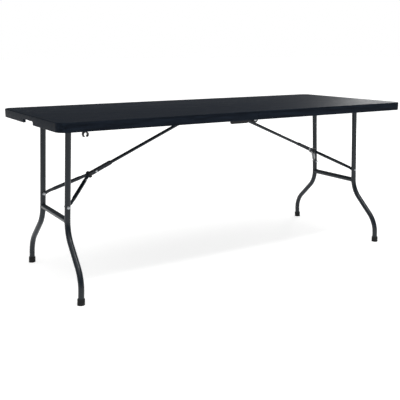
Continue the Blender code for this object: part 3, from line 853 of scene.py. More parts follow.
@dataclass
class HalfTop:
    """A blow-moulded half top: a deck with a rim, a lip along the seam and dimples underneath."""

    rim_wall: float = 12 * MM
    deck: float = 11 * MM
    corner_radius: float = 42 * MM
    edge_radius: float = 4 * MM
    foot_radius: float = 1.6 * MM
    lip_depth: float = 18 * MM
    lip_width: float = 8 * MM
    notch_width: float = 130 * MM
    notch_depth: float = 16 * MM
    notch_radius: float = 8 * MM
    dimple_pitch: float = 45 * MM
    dimple_radius: float = 13 * MM
    # The dimple's wall: how far in each step goes, and how far up.
    dimple_steps: tuple[tuple[float, float], ...] = (
        (1.2 * MM, 1.6 * MM),
        (1.6 * MM, 2.0 * MM),
        (3.0 * MM, 0.9 * MM),
    )
    dimple_cuts: int = 3
    cell_tolerance: float = 0.01
    dimple_margin: float = 40 * MM

    def build(self, side: Side) -> None:
        """Build one half top.

        Args:
            side: Its half of the table.
        """
        low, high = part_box("tabletop_right")
        bm = self.shell(low, high)
        self.add_lip(bm, low, high)
        self.add_dimples(bm, low, high)
        bm = combine(bm, self.hand_notch(low, high), Operation.CUT)
        name = f"tabletop_{side.value}"
        body = f"{side.value}_half"
        finish_node(moved(bm, side.turn), "moulded", name, POLYETHYLENE, body, soften=0.5 * MM)

    def shell(self, low: Vector, high: Vector) -> BMesh:
        """The deck and its rim, cut square at the seam.

        Args:
            low: The lowest corner of the half top.
            high: Its highest corner.

        Returns:
            The shell.
        """
        start = Vector((low.x - 2 * self.rim_wall, low.y, low.z))
        bm = box(start, high)
        bevel(bm, edges_along(bm, 2, lambda at: at.x > low.x), self.corner_radius, CORNER_STEPS)
        base = self.faces_at(bm, low.z)
        bmesh.ops.inset_region(
            bm, faces=base, thickness=self.rim_wall, use_even_offset=True, use_boundary=True
        )
        top = self.faces_at(bm, high.z)
        rims = {edge for face in top for edge in face.edges}
        inner = max(self.faces_at(bm, low.z), key=lambda face: face.calc_area())
        drawn = bmesh.ops.extrude_discrete_faces(bm, faces=[inner])["faces"]
        bmesh.ops.translate(bm, vec=(0, 0, high.z - low.z - self.deck), verts=drawn[0].verts)
        bevel(bm, rims, self.edge_radius, EDGE_STEPS)
        feet = [
            edge
            for edge in bm.edges
            if all(abs(vert.co.z - low.z) < SAME_POINT for vert in edge.verts)
            and any(abs(face.normal.z) < 0.5 for face in edge.link_faces)
        ]
        bevel(bm, feet, self.foot_radius, FINE_STEPS)
        bmesh.ops.bisect_plane(
            bm,
            geom=bm.verts[:] + bm.edges[:] + bm.faces[:],
            dist=SAME_POINT,
            plane_co=(low.x, 0, 0),
            plane_no=(1, 0, 0),
            clear_inner=True,
        )
        bmesh.ops.holes_fill(bm, edges=[edge for edge in bm.edges if edge.is_boundary], sides=0)
        bmesh.ops.recalc_face_normals(bm, faces=bm.faces)
        return bm

    @staticmethod
    def faces_at(bm: BMesh, height: float) -> list[BMFace]:
        """Level faces at a height."""
        bm.normal_update()
        return [
            face
            for face in bm.faces
            if abs(face.normal.z) > LEVEL and all(abs(vert.co.z - height) < SAME_POINT for vert in face.verts)
        ]

    def split(self, bm: BMesh, height: float, where: Vector, normal: Vector) -> None:
        """Cut the level faces at a height along a plane.

        Args:
            bm: The half top.
            height: The height of the faces.
            where: A point on the plane.
            normal: The plane's normal.
        """
        faces = self.faces_at(bm, height)
        edges = {edge for face in faces for edge in face.edges}
        verts = {vert for face in faces for vert in face.verts}
        bmesh.ops.bisect_plane(
            bm,
            geom=list(verts) + list(edges) + faces,
            dist=SAME_POINT,
            plane_co=where,
            plane_no=normal,
        )

    def add_lip(self, bm: BMesh, low: Vector, high: Vector) -> None:
        """Draw the lip along the seam down out of the deck.

        Args:
            bm: The half top.
            low: The lowest corner of the half top.
            high: Its highest corner.
        """
        under = high.z - self.deck
        stop = low.x + self.lip_width
        reach = high.y - 2 * self.rim_wall
        self.split(bm, under, Vector((stop, 0, 0)), Vector((1, 0, 0)))
        for sign in (-1, 1):
            self.split(bm, under, Vector((0, sign * reach, 0)), Vector((0, 1, 0)))
        strip = [
            face
            for face in self.faces_at(bm, under)
            if face.calc_center_median().x < stop and abs(face.calc_center_median().y) < reach
        ]
        drawn = bmesh.ops.extrude_discrete_faces(bm, faces=strip)["faces"]
        verts = {vert for face in drawn for vert in face.verts}
        bmesh.ops.translate(bm, vec=(0, 0, self.deck - self.lip_depth), verts=list(verts))

    def add_dimples(self, bm: BMesh, low: Vector, high: Vector) -> None:
        """Press rows of round dimples up into the underside of the deck.

        Args:
            bm: The half top.
            low: The lowest corner of the half top.
            high: Its highest corner.
        """
        under = high.z - self.deck
        start = low.x + self.lip_width
        room_x = high.x - self.dimple_margin - start
        columns = int(room_x / self.dimple_pitch)
        rows = int(2 * (high.y - self.dimple_margin) / self.dimple_pitch)
        first_x = start + (room_x - columns * self.dimple_pitch) / 2
        first_y = -rows * self.dimple_pitch / 2
        for column in range(columns + 1):
            self.split(bm, under, Vector((first_x + column * self.dimple_pitch, 0, 0)), Vector((1, 0, 0)))
        for row in range(rows + 1):
            self.split(bm, under, Vector((0, first_y + row * self.dimple_pitch, 0)), Vector((0, 1, 0)))
        cell = self.dimple_pitch**2
        cells = [
            face
            for face in self.faces_at(bm, under)
            if abs(face.calc_area() - cell) < cell * self.cell_tolerance
        ]
        inset = self.dimple_pitch / 2 - self.dimple_radius
        bmesh.ops.inset_individual(bm, faces=cells, thickness=inset, use_even_offset=True)
        edges = list({edge for face in cells for edge in face.edges})
        bmesh.ops.subdivide_edges(bm, edges=edges, cuts=self.dimple_cuts)
        corners = 4 * (self.dimple_cuts + 1)
        rounds = [face for face in self.faces_at(bm, under) if len(face.verts) == corners]
        for face in rounds:
            centre = face.calc_center_bounds()
            for vert in face.verts:
                vert.co = centre + (vert.co - centre).normalized() * self.dimple_radius
        for thickness, depth in self.dimple_steps:
            bmesh.ops.inset_individual(bm, faces=rounds, thickness=thickness, depth=-depth)

    def hand_notch(self, low: Vector, high: Vector) -> BMesh:
        """The tool that cuts the hand notch out of the end of the rim.

        Args:
            low: The lowest corner of the half top.
            high: Its highest corner.

        Returns:
            The tool.
        """
        reach = 3 * self.rim_wall
        tool = box(
            (high.x - reach, -self.notch_width / 2, low.z - reach),
            (high.x + reach, self.notch_width / 2, low.z + self.notch_depth),
        )
        bevel(tool, edges_along(tool, 0, lambda at: at.z > low.z), self.notch_radius, NOSE_STEPS)
        return tool


# ---------------------------------------------------------------- small hardware


@dataclass
class Hardware:
    """Rivets and screws, turned and domed."""

    rivet_radius: float = 7 * MM
    rivet_height: float = 2.5 * MM
    rivet_shank: float = 3 * MM
    screw_radius: float = 4.2 * MM
    screw_height: float = 2.0 * MM
    socket_share: float = 0.42
    socket_rise: float = 1.1

    @staticmethod
    def dome(radius: float, height: float, shank_radius: float, shank_length: float) -> BMesh:
        """A domed head on a shank. The head's seat is at height 0 and its crown is above.

        Args:
            radius: The head's radius.
            height: The head's height.
            shank_radius: The shank's radius.
            shank_length: How far the shank reaches below the seat.

        Returns:
            The rivet.
        """
        crown_steps = 6
        seat_share = 0.96
        rim_share = 0.2
        profile = [
            (0.0, -shank_length),
            (shank_radius, -shank_length),
            (shank_radius, 0.0),
            (radius * seat_share, 0.0),
            (radius, rim_share * height),
        ]
        for step in range(1, crown_steps):
            turn = math.pi / 2 * step / crown_steps
            rise = rim_share + (1 - rim_share) * math.sin(turn)
            profile.append((radius * math.cos(turn), height * rise))
        profile.append((0.0, height))
        return lathe(profile)

    def screw(self) -> BMesh:
        """A pan-headed screw with a hexagon socket. Its seat is at height 0."""
        radius = self.screw_radius
        head = self.dome(radius, self.screw_height, radius / 2, self.screw_height)
        socket = bmesh.new()
        bmesh.ops.create_cone(
            socket,
            cap_ends=True,
            segments=6,
            radius1=radius * self.socket_share,
            radius2=radius * self.socket_share,
            depth=self.screw_height,
        )
        bmesh.ops.translate(socket, vec=(0, 0, self.screw_height * self.socket_rise), verts=socket.verts)
        return combine(head, socket, Operation.CUT)


# ---------------------------------------------------------------- rails, hinges and bearings


@dataclass
class SideRail:
    """A folded U channel under each long edge of a half top, screwed to the deck."""

    wall: float = 1.5 * MM
    fold_radius: float = 1.8 * MM
    screw_pitch: float = 170 * MM
    first_screw: float = 185 * MM
    hardware: Hardware = field(default_factory=Hardware)

    def build(self, side: Side, sign: int) -> None:
        """Build one rail.

        Args:
            side: Its half of the table.
            sign: The side of Y on the right half.
        """
        node = "rail_front_right" if sign < 0 else "rail_rear_right"
        low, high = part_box(node)
        wall = self.wall
        bm = channel(low, high, wall)
        centre_y = (low.y + high.y) / 2
        bevel(
            bm,
            edges_along(bm, 0, lambda at: at.z > high.z - wall / 2 and abs(at.y - centre_y) > wall),
            self.fold_radius,
            FOLD_STEPS,
        )
        body = f"{side.value}_half"
        target = f"rail_{side.label(sign)}_{side.value}"
        finish_node(moved(bm, side.turn), "folded", target, POWDER_COAT, body, soften=0.3 * MM)
        screws = []
        place = low.x + self.first_screw
        while place < high.x - self.screw_pitch / 3:
            seat = Vector((place, centre_y, high.z - wall))
            flip = Matrix.Translation(seat) @ Matrix.Rotation(math.pi, 4, "X")
            screws.append(moved(self.hardware.screw(), flip))
            place += self.screw_pitch
        finish_extra(moved(gather(screws), side.turn), f"screws_{target}", ZINC, body)


@dataclass
class CentreHinge:
    """A hinge on the seam line: a leaf on each half, a washer between them and a headed pin."""

    knuckle_radius: float = 14.5 * MM
    knuckle_sides: int = 48
    neck_height: float = 18 * MM
    neck_length: float = 34 * MM
    plate_corner: float = 8 * MM
    bore_radius: float = 4.3 * MM
    rivet_radius: float = 4.5 * MM
    rivet_height: float = 1.6 * MM
    rivet_places: tuple[float, ...] = (46 * MM, 88 * MM, 118 * MM)
    pin_crown: float = 0.75
    pin_head: float = 2 * MM
    pin_shank: float = 4 * MM
    washer_chamfer: float = 0.2 * MM

    def build(self, label: str) -> None:
        """Build one hinge.

        Args:
            label: "front" or "rear".
        """
        for side in (Side.LEFT, Side.RIGHT):
            self.build_leaf(label, side)
        self.build_pin(label)

    def build_leaf(self, label: str, side: Side) -> None:
        """Build a leaf: a plate on the rail and a neck out to the round knuckle.

        Args:
            label: "front" or "rear".
            side: The half that it is fixed to.
        """
        node = f"hinge_leaf_{label}_{side.value}"
        low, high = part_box(node)
        axis = middle(f"hinge_pin_{label}")
        toward = 1 if side is Side.RIGHT else -1
        y = (low.y + high.y) / 2
        thickness = high.y - low.y
        centre = Vector((axis.x, y, axis.z))
        half = Vector((0, thickness / 2, 0))
        knuckle = tube(centre - half, centre + half, self.knuckle_radius, self.knuckle_sides)
        far = high.x if toward > 0 else low.x
        plate_low = low.z if side is Side.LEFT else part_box(f"rail_{label}_{side.value}")[0].z
        near = toward * self.neck_length
        plate = box(
            (min(near, far), low.y, plate_low),
            (max(near, far), high.y, high.z),
        )
        bevel(plate, edges_along(plate, 1), self.plate_corner, EDGE_STEPS)
        neck_base = min(max(plate_low - axis.z, -self.neck_height / 2), 0) + axis.z
        neck_end = near + toward * 2 * self.plate_corner
        neck = box(
            (min(0, neck_end), low.y, neck_base),
            (max(0, neck_end), high.y, neck_base + self.neck_height),
        )
        leaf = combine(combine(knuckle, plate, Operation.JOIN), neck, Operation.JOIN)
        bore = tube(centre - 3 * half, centre + 3 * half, self.bore_radius)
        leaf = combine(leaf, bore, Operation.CUT)
        finish_node(leaf, "pressed", node, DIP_COAT, f"{side.value}_half", soften=0.35 * MM)
        self.build_leaf_rivets(node, side, toward, y, thickness, (plate_low + high.z) / 2)

    def build_leaf_rivets(
        self, node: str, side: Side, toward: int, y: float, thickness: float, height: float
    ) -> None:
        """Rivet a leaf to its rail, with the heads on the inner side.

        Args:
            node: The leaf's name.
            side: The half that it is fixed to.
            toward: The direction of the leaf along X.
            y: The middle of its thickness.
            thickness: Its thickness.
            height: The height of the row.
        """
        inward = -math.copysign(1, y)
        heads = []
        for place in self.rivet_places:
            seat = Vector((toward * place, y + inward * thickness / 2, height))
            head = Hardware.dome(self.rivet_radius, self.rivet_height, self.rivet_radius / 2, thickness / 2)
            heads.append(moved(head, along_y(inward, seat)))
        finish_extra(gather(heads), f"rivets_{node}", ZINC, f"{side.value}_half")

    def build_pin(self, label: str) -> None:
        """Build the pin with its two heads, and the washer between the leaves.

        Args:
            label: "front" or "rear".
        """
        pin_low, pin_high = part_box(f"hinge_pin_{label}")
        centre = middle(f"hinge_pin_{label}")
        radius = (pin_high.z - pin_low.z) / 2
        length = pin_high.y - pin_low.y
        profile = pin_outline(length / 2, radius, self.pin_crown, self.pin_head, self.pin_shank)
        pin = moved(lathe(profile, TUBE_SIDES), along_y(1, centre))
        finish_node(pin, "turned", f"hinge_pin_{label}", ZINC, "right_half")
        low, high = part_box(f"hinge_washer_{label}")
        at = middle(f"hinge_washer_{label}")
        half = (high.y - low.y) / 2
        outer = (high.z - low.z) / 2
        ring = sleeve_outline(half, outer, self.bore_radius, self.washer_chamfer)
        washer = moved(lathe(ring, TUBE_SIDES), along_y(1, at))
        finish_node(washer, "turned", f"hinge_washer_{label}", ZINC, "right_half")


@dataclass
class PivotBearing:
    """A moulded block round the end of a pivot rod, with an open catch below it on the left half."""

    nose_radius: float = 8 * MM
    upright_radius: float = 1.5 * MM
    rod_radius: float = 7.3 * MM
    catch_radius: float = 7.3 * MM
    catch_wall: float = 5.2 * MM
    catch_opening: float = math.radians(64)
    catch_steps: int = 30
    stem_width: float = 13 * MM
    stem_inset: float = 0.1 * MM

    def build(self, side: Side, sign: int) -> None:
        """Build one bearing.

        Args:
            side: Its half of the table.
            sign: The side of Y on the right half.
        """
        node = "pivot_bearing_front_right" if sign < 0 else "pivot_bearing_rear_right"
        low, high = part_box(node)
        axis = middle("pivot_rod_right")
        block = box(low, high)
        bevel(block, edges_along(block, 1, lambda at: at.z < axis.z), self.nose_radius, NOSE_STEPS)
        bevel(block, edges_along(block, 2), self.upright_radius, FINE_STEPS)
        y = (low.y + high.y) / 2
        centre = Vector((axis.x, y, axis.z))
        half = Vector((0, (high.y - low.y) / 2, 0))
        if side is Side.LEFT:
            hinge = middle("hinge_pin_front")
            drop = Vector((axis.x, y, 2 * hinge.z - axis.z))
            block = combine(block, self.catch(drop, half), Operation.JOIN)
            foot = drop.z + self.catch_radius + self.catch_wall / 2
            stem = box(
                (axis.x - self.stem_width / 2, low.y + self.stem_inset, foot),
                (axis.x + self.stem_width / 2, high.y - self.stem_inset, axis.z - self.rod_radius),
            )
            block = combine(block, stem, Operation.JOIN)
        bore = tube(centre - 2 * half, centre + 2 * half, self.rod_radius)
        block = combine(block, bore, Operation.CUT)
        target = f"pivot_bearing_{side.label(sign)}_{side.value}"
        finish_node(moved(block, side.turn), "moulded", target, NYLON, f"{side.value}_half", soften=0.4 * MM)

    def catch(self, centre: Vector, half: Vector) -> BMesh:
        """The open ring of the catch, its mouth down.

        Args:
            centre: The middle of the ring.
            half: Half its width, along Y.

        Returns:
            The ring.
        """
        bm = bmesh.new()
        inner, outer = self.catch_radius, self.catch_radius + self.catch_wall
        start = Matrix.Rotation(self.catch_opening / 2, 3, "Y") @ Vector((0, 0, -1))
        corners = [
            bm.verts.new(centre + start * radius + across)
            for radius, across in ((inner, -half), (outer, -half), (outer, half), (inner, half))
        ]
        face = bm.faces.new(corners)
        bmesh.ops.spin(
            bm,
            geom=[face, *face.edges, *face.verts],
            cent=centre,
            axis=(0, 1, 0),
            angle=2 * math.pi - self.catch_opening,
            steps=self.catch_steps,
            use_duplicate=False,
        )
        bmesh.ops.remove_doubles(bm, verts=bm.verts, dist=SAME_POINT)
        bmesh.ops.holes_fill(bm, edges=[edge for edge in bm.edges if edge.is_boundary], sides=0)
        bmesh.ops.recalc_face_normals(bm, faces=bm.faces)
        return bm


# ---------------------------------------------------------------- the leg frames


@dataclass
class LegFrame:
    """A pair of S-bent tube legs on a pivot rod, with a welded crossbar, rivets and foot caps."""

    tube_radius: float = 12.5 * MM
    end_radius: float = 13.3 * MM
    end_margin: float = 0.1 * MM
    rod_radius: float = 7 * MM
    rod_chamfer: float = 1.2 * MM
    top_spread: float = 155.8 * MM
    bend_top: float = 259 * MM
    bend_foot: float = 107 * MM
    bend_radius: float = 130 * MM
    crossbar_height: float = 310 * MM
    cap_height: float = 26 * MM
    cap_base: float = 6.3 * MM
    cap_wall: float = 3 * MM
    cap_cut: float = 15 * MM
    cap_shoe: float = 6 * MM
    cap_plug: float = 8 * MM
    collar_height: float = 5 * MM
    collar_slope: float = 1.4 * MM
    collar_inset: float = 1.2 * MM
    rib_depth: float = 0.6 * MM
    rib_width: float = 3 * MM
    rib_slope: float = 0.8 * MM
    rib_starts: tuple[float, ...] = (9 * MM, 13 * MM, 17 * MM)
    weld_radius: float = 1.7 * MM
    fit: float = 0.3 * MM
    hardware: Hardware = field(default_factory=Hardware)

    def __post_init__(self) -> None:
        """Read the pivot, the lean of the legs and the spread of the feet from the frame."""
        self.pivot = middle("pivot_rod_right")
        rivet = middle("leg_rivet_front_right")
        self.splay = math.atan2(rivet.x - self.pivot.x, self.pivot.z - rivet.z)
        self.foot_spread = abs(middle("foot_cap_front_right").y)
        self.place = Matrix.Translation(self.pivot) @ Matrix.Rotation(-self.splay, 4, "Y")

    def down(self, height: float) -> float:
        """How far down the leg a height above the floor is."""
        return (self.pivot.z - height) / math.cos(self.splay)

    def body(self, side: Side) -> str:
        """The name of the frame's body."""
        return f"{side.value}_leg_frame"

    def build(self, side: Side) -> None:
        """Build one leg frame.

        Args:
            side: Its half of the table.
        """
        self.build_rod(side)
        self.build_crossbar(side)
        for sign in (-1, 1):
            self.build_leg(side, sign)
            self.build_cap(side, sign)
            self.build_rivet(side, sign)

    def build_rod(self, side: Side) -> None:
        """Build the pivot rod, chamfered at its ends, and its welds to the legs."""
        low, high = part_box("pivot_rod_right")
        half = (high.y - low.y) / 2
        rod = lathe(rod_outline(half, self.rod_radius, self.rod_chamfer), TUBE_SIDES)
        node = f"pivot_rod_{side.value}"
        rod.transform(side.turn @ self.place @ along_y(1, Vector()))
        finish_node(rod, "turned", node, POWDER_COAT, self.body(side))
        welds = [self.weld(self.rod_radius, 0.0, leg, face) for leg in (-1, 1) for face in (-1, 1)]
        beads = moved(gather(welds), side.turn @ self.place)
        finish_extra(beads, f"welds_{node}", POWDER_COAT, self.body(side))

    def weld(self, radius: float, height: float, leg: int, face: int) -> BMesh:
        """A bead where a bar along Y meets a leg.

        Args:
            radius: The bar's radius.
            height: The bar's height in the leg frame.
            leg: Which leg, -1 or +1.
            face: Which side of the leg, -1 or +1 along Y.

        Returns:
            The bead.
        """
        path, ups = [], []
        for step in range(WELD_STEPS):
            turn = 2 * math.pi * (step + 0.5) / WELD_STEPS
            out = Vector((math.cos(turn), 0, math.sin(turn)))
            x = radius * out.x
            depth = math.sqrt(max(self.tube_radius**2 - x**2, 0))
            path.append(Vector((x, leg * self.top_spread + face * depth, height + radius * out.z)))
            ups.append(out)
        return bead(path, ups, self.weld_radius)

    def build_crossbar(self, side: Side) -> None:
        """Build the crossbar between the legs and its two welds."""
        height = -self.down(self.crossbar_height)
        reach = Vector((0, self.top_spread - self.fit, 0))
        centre = Vector((0, 0, height))
        bar = tube(centre - reach, centre + reach, self.tube_radius)
        node = f"crossbar_{side.value}"
        finish_node(moved(bar, side.turn @ self.place), "welded", node, POWDER_COAT, self.body(side))
        welds = [self.weld(self.tube_radius, height, leg, -leg) for leg in (-1, 1)]
        beads = moved(gather(welds), side.turn @ self.place)
        finish_extra(beads, f"welds_{node}", POWDER_COAT, self.body(side))

    def build_leg(self, side: Side, sign: int) -> None:
        """Build a leg: straight down from the rod, then bent out to a wider foot.

        Args:
            side: Its half of the table.
            sign: The side of Y on the right half.
        """
        top_y, foot_y = sign * self.top_spread, sign * self.foot_spread
        lift = self.tube_radius * math.tan(self.splay)
        path = rounded_path(
            [
                Vector((0, top_y, 2 * self.end_radius)),
                Vector((0, top_y, -self.down(self.bend_top))),
                Vector((0, foot_y, -self.down(self.bend_foot))),
                Vector((0, foot_y, -self.down(self.cap_base) + lift)),
            ],
            self.bend_radius,
        )
        forward = Vector((1, 0, 0))
        leg = sweep(path, [forward] * len(path), [round_section(self.tube_radius)] * len(path))
        span = 2 * self.pivot.z
        blank = box((-self.end_radius, -span, -span), (self.end_radius, span, self.end_radius))
        rounded = self.end_radius - self.end_margin
        bevel(blank, edges_along(blank, 1, lambda at: at.z > 0), rounded, BEND_STEPS)
        leg = combine(leg, blank, Operation.KEEP_COMMON)
        node = f"leg_{side.label(sign)}_{side.value}"
        finish_node(moved(leg, side.turn @ self.place), "bent", node, POWDER_COAT, self.body(side))

    def build_cap(self, side: Side, sign: int) -> None:
        """Build a foot cap: a ribbed sleeve round the foot, cut level with the floor.

        Args:
            side: Its half of the table.
            sign: The side of Y on the right half.
        """
        bore = self.tube_radius + self.fit
        outer = bore + self.cap_wall
        waist = outer - self.rib_depth
        top = self.cap_height
        profile = [(0.0, -self.cap_cut), (outer, -self.cap_cut), (outer, self.cap_shoe)]
        profile.append((waist, self.cap_shoe + 1 * MM))
        for start in self.rib_starts:
            profile += [
                (waist, start),
                (outer, start + self.rib_slope),
                (outer, start + self.rib_width - self.rib_slope),
                (waist, start + self.rib_width),
            ]
        profile += [
            (waist, top - self.collar_height),
            (outer, top - self.collar_height + self.rib_depth),
            (outer, top - self.collar_slope),
            (outer - self.collar_inset, top),
            (bore, top),
            (bore, top - self.cap_plug),
            (0.0, top - self.cap_plug),
        ]
        cap = lathe(profile, TUBE_SIDES)
        foot = Vector((0, sign * self.foot_spread, -self.down(0.0)))
        cap.transform(self.place @ Matrix.Translation(foot))
        bmesh.ops.bisect_plane(
            cap,
            geom=cap.verts[:] + cap.edges[:] + cap.faces[:],
            dist=SAME_POINT,
            plane_co=(0, 0, 0),
            plane_no=(0, 0, 1),
            clear_inner=True,
        )
        bmesh.ops.holes_fill(cap, edges=[edge for edge in cap.edges if edge.is_boundary], sides=0)
        bmesh.ops.recalc_face_normals(cap, faces=cap.faces)
        node = f"foot_cap_{side.label(sign)}_{side.value}"
        finish_node(moved(cap, side.turn), "ribbed", node, VINYL, self.body(side))

    def build_rivet(self, side: Side, sign: int) -> None:
        """Build the domed rivet through a leg.

        Args:
            side: Its half of the table.
            sign: The side of Y on the right half.
        """
        size = self.hardware
        shank = 2 * self.tube_radius - self.fit
        rivet = size.dome(size.rivet_radius, size.rivet_height, size.rivet_shank, shank)
        height = middle("leg_rivet_front_right").z
        seat = Vector((0, sign * (self.top_spread + self.tube_radius), -self.down(height)))
        node = f"leg_rivet_{side.label(sign)}_{side.value}"
        rivet.transform(side.turn @ self.place @ along_y(sign, seat))
        finish_node(rivet, "domed", node, ZINC, self.body(side))


# ---------------------------------------------------------------- the braces


@dataclass
class Brace:
    """A folding brace: anchor tube, sleeve, tube, channel and lock ring, and the wishbone at its foot."""

    anchor_radius: float = 7.5 * MM
    tube_radius: float = 7.5 * MM
    end_gap: float = 20 * MM
    sleeve_radius: float = 11.5 * MM
    sleeve_length: float = 40 * MM
    sleeve_weld: float = 1.4 * MM
    tube_entry: float = 0.8
    chamfer: float = 0.8 * MM
    channel_wall: float = 1.2 * MM
    channel_above: float = 80 * MM
    channel_tail: float = 42 * MM
    channel_fold: float = 2.2 * MM
    arm_radius: float = 8.5 * MM
    flat_thickness: float = 2.5 * MM
    flat_height: float = 15 * MM
    flat_end: float = 8 * MM
    inner_flat: float = 46 * MM
    outer_flat: float = 24 * MM
    arm_bend: float = 20 * MM
    pressed_past_bend: float = 18 * MM
    squash_run: float = 22 * MM
    squareness: float = 0.65
    arm_bend_steps: int = 8
    arm_steps: int = 24
    joint_crown: float = 0.8
    joint_head: float = 1.2 * MM
    joint_shank: float = 3 * MM
    ring_wall: float = 1.2 * MM
    ring_short: float = 5 * MM
    tab_length: float = 4 * MM
    tab_corner: float = 2 * MM
    tab_drop: float = 0.1 * MM
    fit: float = 0.3 * MM
    hardware: Hardware = field(default_factory=Hardware)

    def __post_init__(self) -> None:
        """Read the lines of the two links from the frame."""
        self.anchor = middle("anchor_tube_right")
        self.joint = middle("joint_rivet_right")
        foot = middle("arm_rivet_front_right")
        self.length = math.hypot(self.joint.x - self.anchor.x, self.joint.z - self.anchor.z)
        self.arm_length = math.hypot(foot.x - self.joint.x, foot.z - self.joint.z)
        self.angle = math.atan2(self.anchor.z - self.joint.z, self.joint.x - self.anchor.x)
        self.arm_angle = math.atan2(self.joint.z - foot.z, foot.x - self.joint.x)
        self.place = Matrix.Translation(self.anchor) @ Matrix.Rotation(self.angle, 4, "Y")
        joint = Vector((self.joint.x, 0, self.joint.z))
        self.arm_place = Matrix.Translation(joint) @ Matrix.Rotation(self.arm_angle, 4, "Y")
        rivet_low, rivet_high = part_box("arm_rivet_front_right")
        self.outer_y = abs(rivet_low.y) - self.flat_thickness / 2
        self.half_width = self.tube_radius + self.fit + self.channel_wall
        self.inner_y = self.half_width + self.fit + self.flat_thickness / 2

    def build(self, side: Side) -> None:
        """Build one brace with its wishbone.

        Args:
            side: Its half of the table.
        """
        self.build_anchor(side)
        self.build_tube(side)
        self.build_channel(side)
        self.build_ring(side)
        self.build_joint_rivet(side)
        for sign in (-1, 1):
            self.build_arm(side, sign)
            self.build_arm_rivet(side, sign)

    def build_anchor(self, side: Side) -> None:
        """Build the anchor tube across the half top, with its ends chamfered."""
        node = f"anchor_tube_{side.value}"
        low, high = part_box(node)
        half = (high.y - low.y) / 2
        anchor = lathe(rod_outline(half, self.anchor_radius, self.chamfer), TUBE_SIDES)
        anchor.transform(along_y(1, middle(node)))
        finish_node(anchor, "turned", node, POWDER_COAT, f"{side.value}_half")

    def build_tube(self, side: Side) -> None:
        """Build the brace tube, its sleeve round the anchor and the weld between them."""
        body = f"{side.value}_brace"
        stop = Vector((self.length - self.end_gap, 0, 0))
        start = Vector((self.sleeve_radius * self.tube_entry, 0, 0))
        node = f"brace_tube_{side.value}"
        bar = moved(tube(start, stop, self.tube_radius), side.turn @ self.place)
        finish_node(bar, "drawn", node, POWDER_COAT, body)

        half = self.sleeve_length / 2
        bore = self.anchor_radius + self.fit
        outline = sleeve_outline(half, self.sleeve_radius, bore, self.chamfer)
        sleeve_node = f"brace_sleeve_{side.value}"
        sleeve = lathe(outline, TUBE_SIDES)
        sleeve.transform(side.turn @ self.place @ along_y(1, Vector()))
        finish_node(sleeve, "turned", sleeve_node, POWDER_COAT, body)

        path, ups = [], []
        for step in range(TUBE_SIDES):
            turn = 2 * math.pi * step / TUBE_SIDES
            out = Vector((0, math.cos(turn), math.sin(turn)))
            height = self.tube_radius * out.z
            reach = math.sqrt(self.sleeve_radius**2 - height**2)
            path.append(Vector((reach, self.tube_radius * out.y, height)))
            ups.append(out)
        weld = moved(bead(path, ups, self.sleeve_weld), side.turn @ self.place)
        finish_extra(weld, f"weld_{sleeve_node}", POWDER_COAT, body)

    def build_channel(self, side: Side) -> None:
        """Build the folded U channel on the tube's foot, open underneath."""
        body = f"{side.value}_brace"
        half, wall, base = self.half_width, self.channel_wall, -self.tube_radius
        start = self.length - self.channel_above
        stop = self.length + self.channel_tail
        folded = channel((start, -half, base), (stop, half, half), wall)
        folds = edges_along(folded, 0, lambda at: at.z > half - wall / 2 and abs(at.y) > half - wall / 2)
        bevel(folded, folds, self.channel_fold, FOLD_STEPS)
        node = f"brace_channel_{side.value}"
        folded.transform(side.turn @ self.place)
        finish_node(folded, "folded", node, POWDER_COAT, body, soften=0.25 * MM)

    def build_ring(self, side: Side) -> None:
        """Build the flat lock ring with a turned-up thumb tab."""
        back = self.place.inverted()
        node_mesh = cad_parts["lock_ring_right"].data
        local = [back @ vert.co for vert in node_mesh.vertices]
        start, wall = min(p.x for p in local) + self.ring_short, self.ring_wall
        tab_stop = max(p.x for p in local)
        half_y, half_z = max(p.y for p in local), max(p.z for p in local)
        stop = tab_stop - self.tab_length
        band = box((start, -half_y, -half_z), (stop, half_y, half_z))
        bevel(band, edges_along(band, 0), 3 * wall, BAND_STEPS)
        inside = box(
            (start - wall, wall - half_y, wall - half_z), (stop + wall, half_y - wall, half_z - wall)
        )
        bevel(inside, edges_along(inside, 0), 2 * wall, BAND_STEPS)
        band = combine(band, inside, Operation.CUT)
        tab = box((stop - wall, -half_y / 2, half_z - wall), (tab_stop, half_y / 2, half_z - self.tab_drop))
        bevel(tab, edges_along(tab, 2, lambda at: at.x > stop), self.tab_corner, FOLD_STEPS)
        band = combine(band, tab, Operation.JOIN)
        node = f"lock_ring_{side.value}"
        band.transform(side.turn @ self.place)
        finish_node(band, "pressed", node, DIP_COAT, f"{side.value}_lock_ring", soften=0.25 * MM)

    def pressed(self, share: float) -> Section:
        """The section of an arm from round, at share 0, to pressed flat, at share 1."""
        wide = self.arm_radius + share * (self.flat_thickness / 2 - self.arm_radius)
        tall = self.arm_radius + share * (self.flat_height / 2 - self.arm_radius)
        power = 1 - self.squareness * share

        def outline(x: float, y: float) -> tuple[float, float]:
            """Where a unit circle's point goes."""
            return (
                wide * math.copysign(abs(x) ** power, x),
                tall * math.copysign(abs(y) ** power, y),
            )

        return outline

    def share_pressed(self, distance: float, pressed: float) -> float:
        """How flat an arm is at a distance from its end, easing between flat and round."""
        share = min(max((pressed + self.squash_run - distance) / self.squash_run, 0), 1)
        return share * share * (3 - 2 * share)

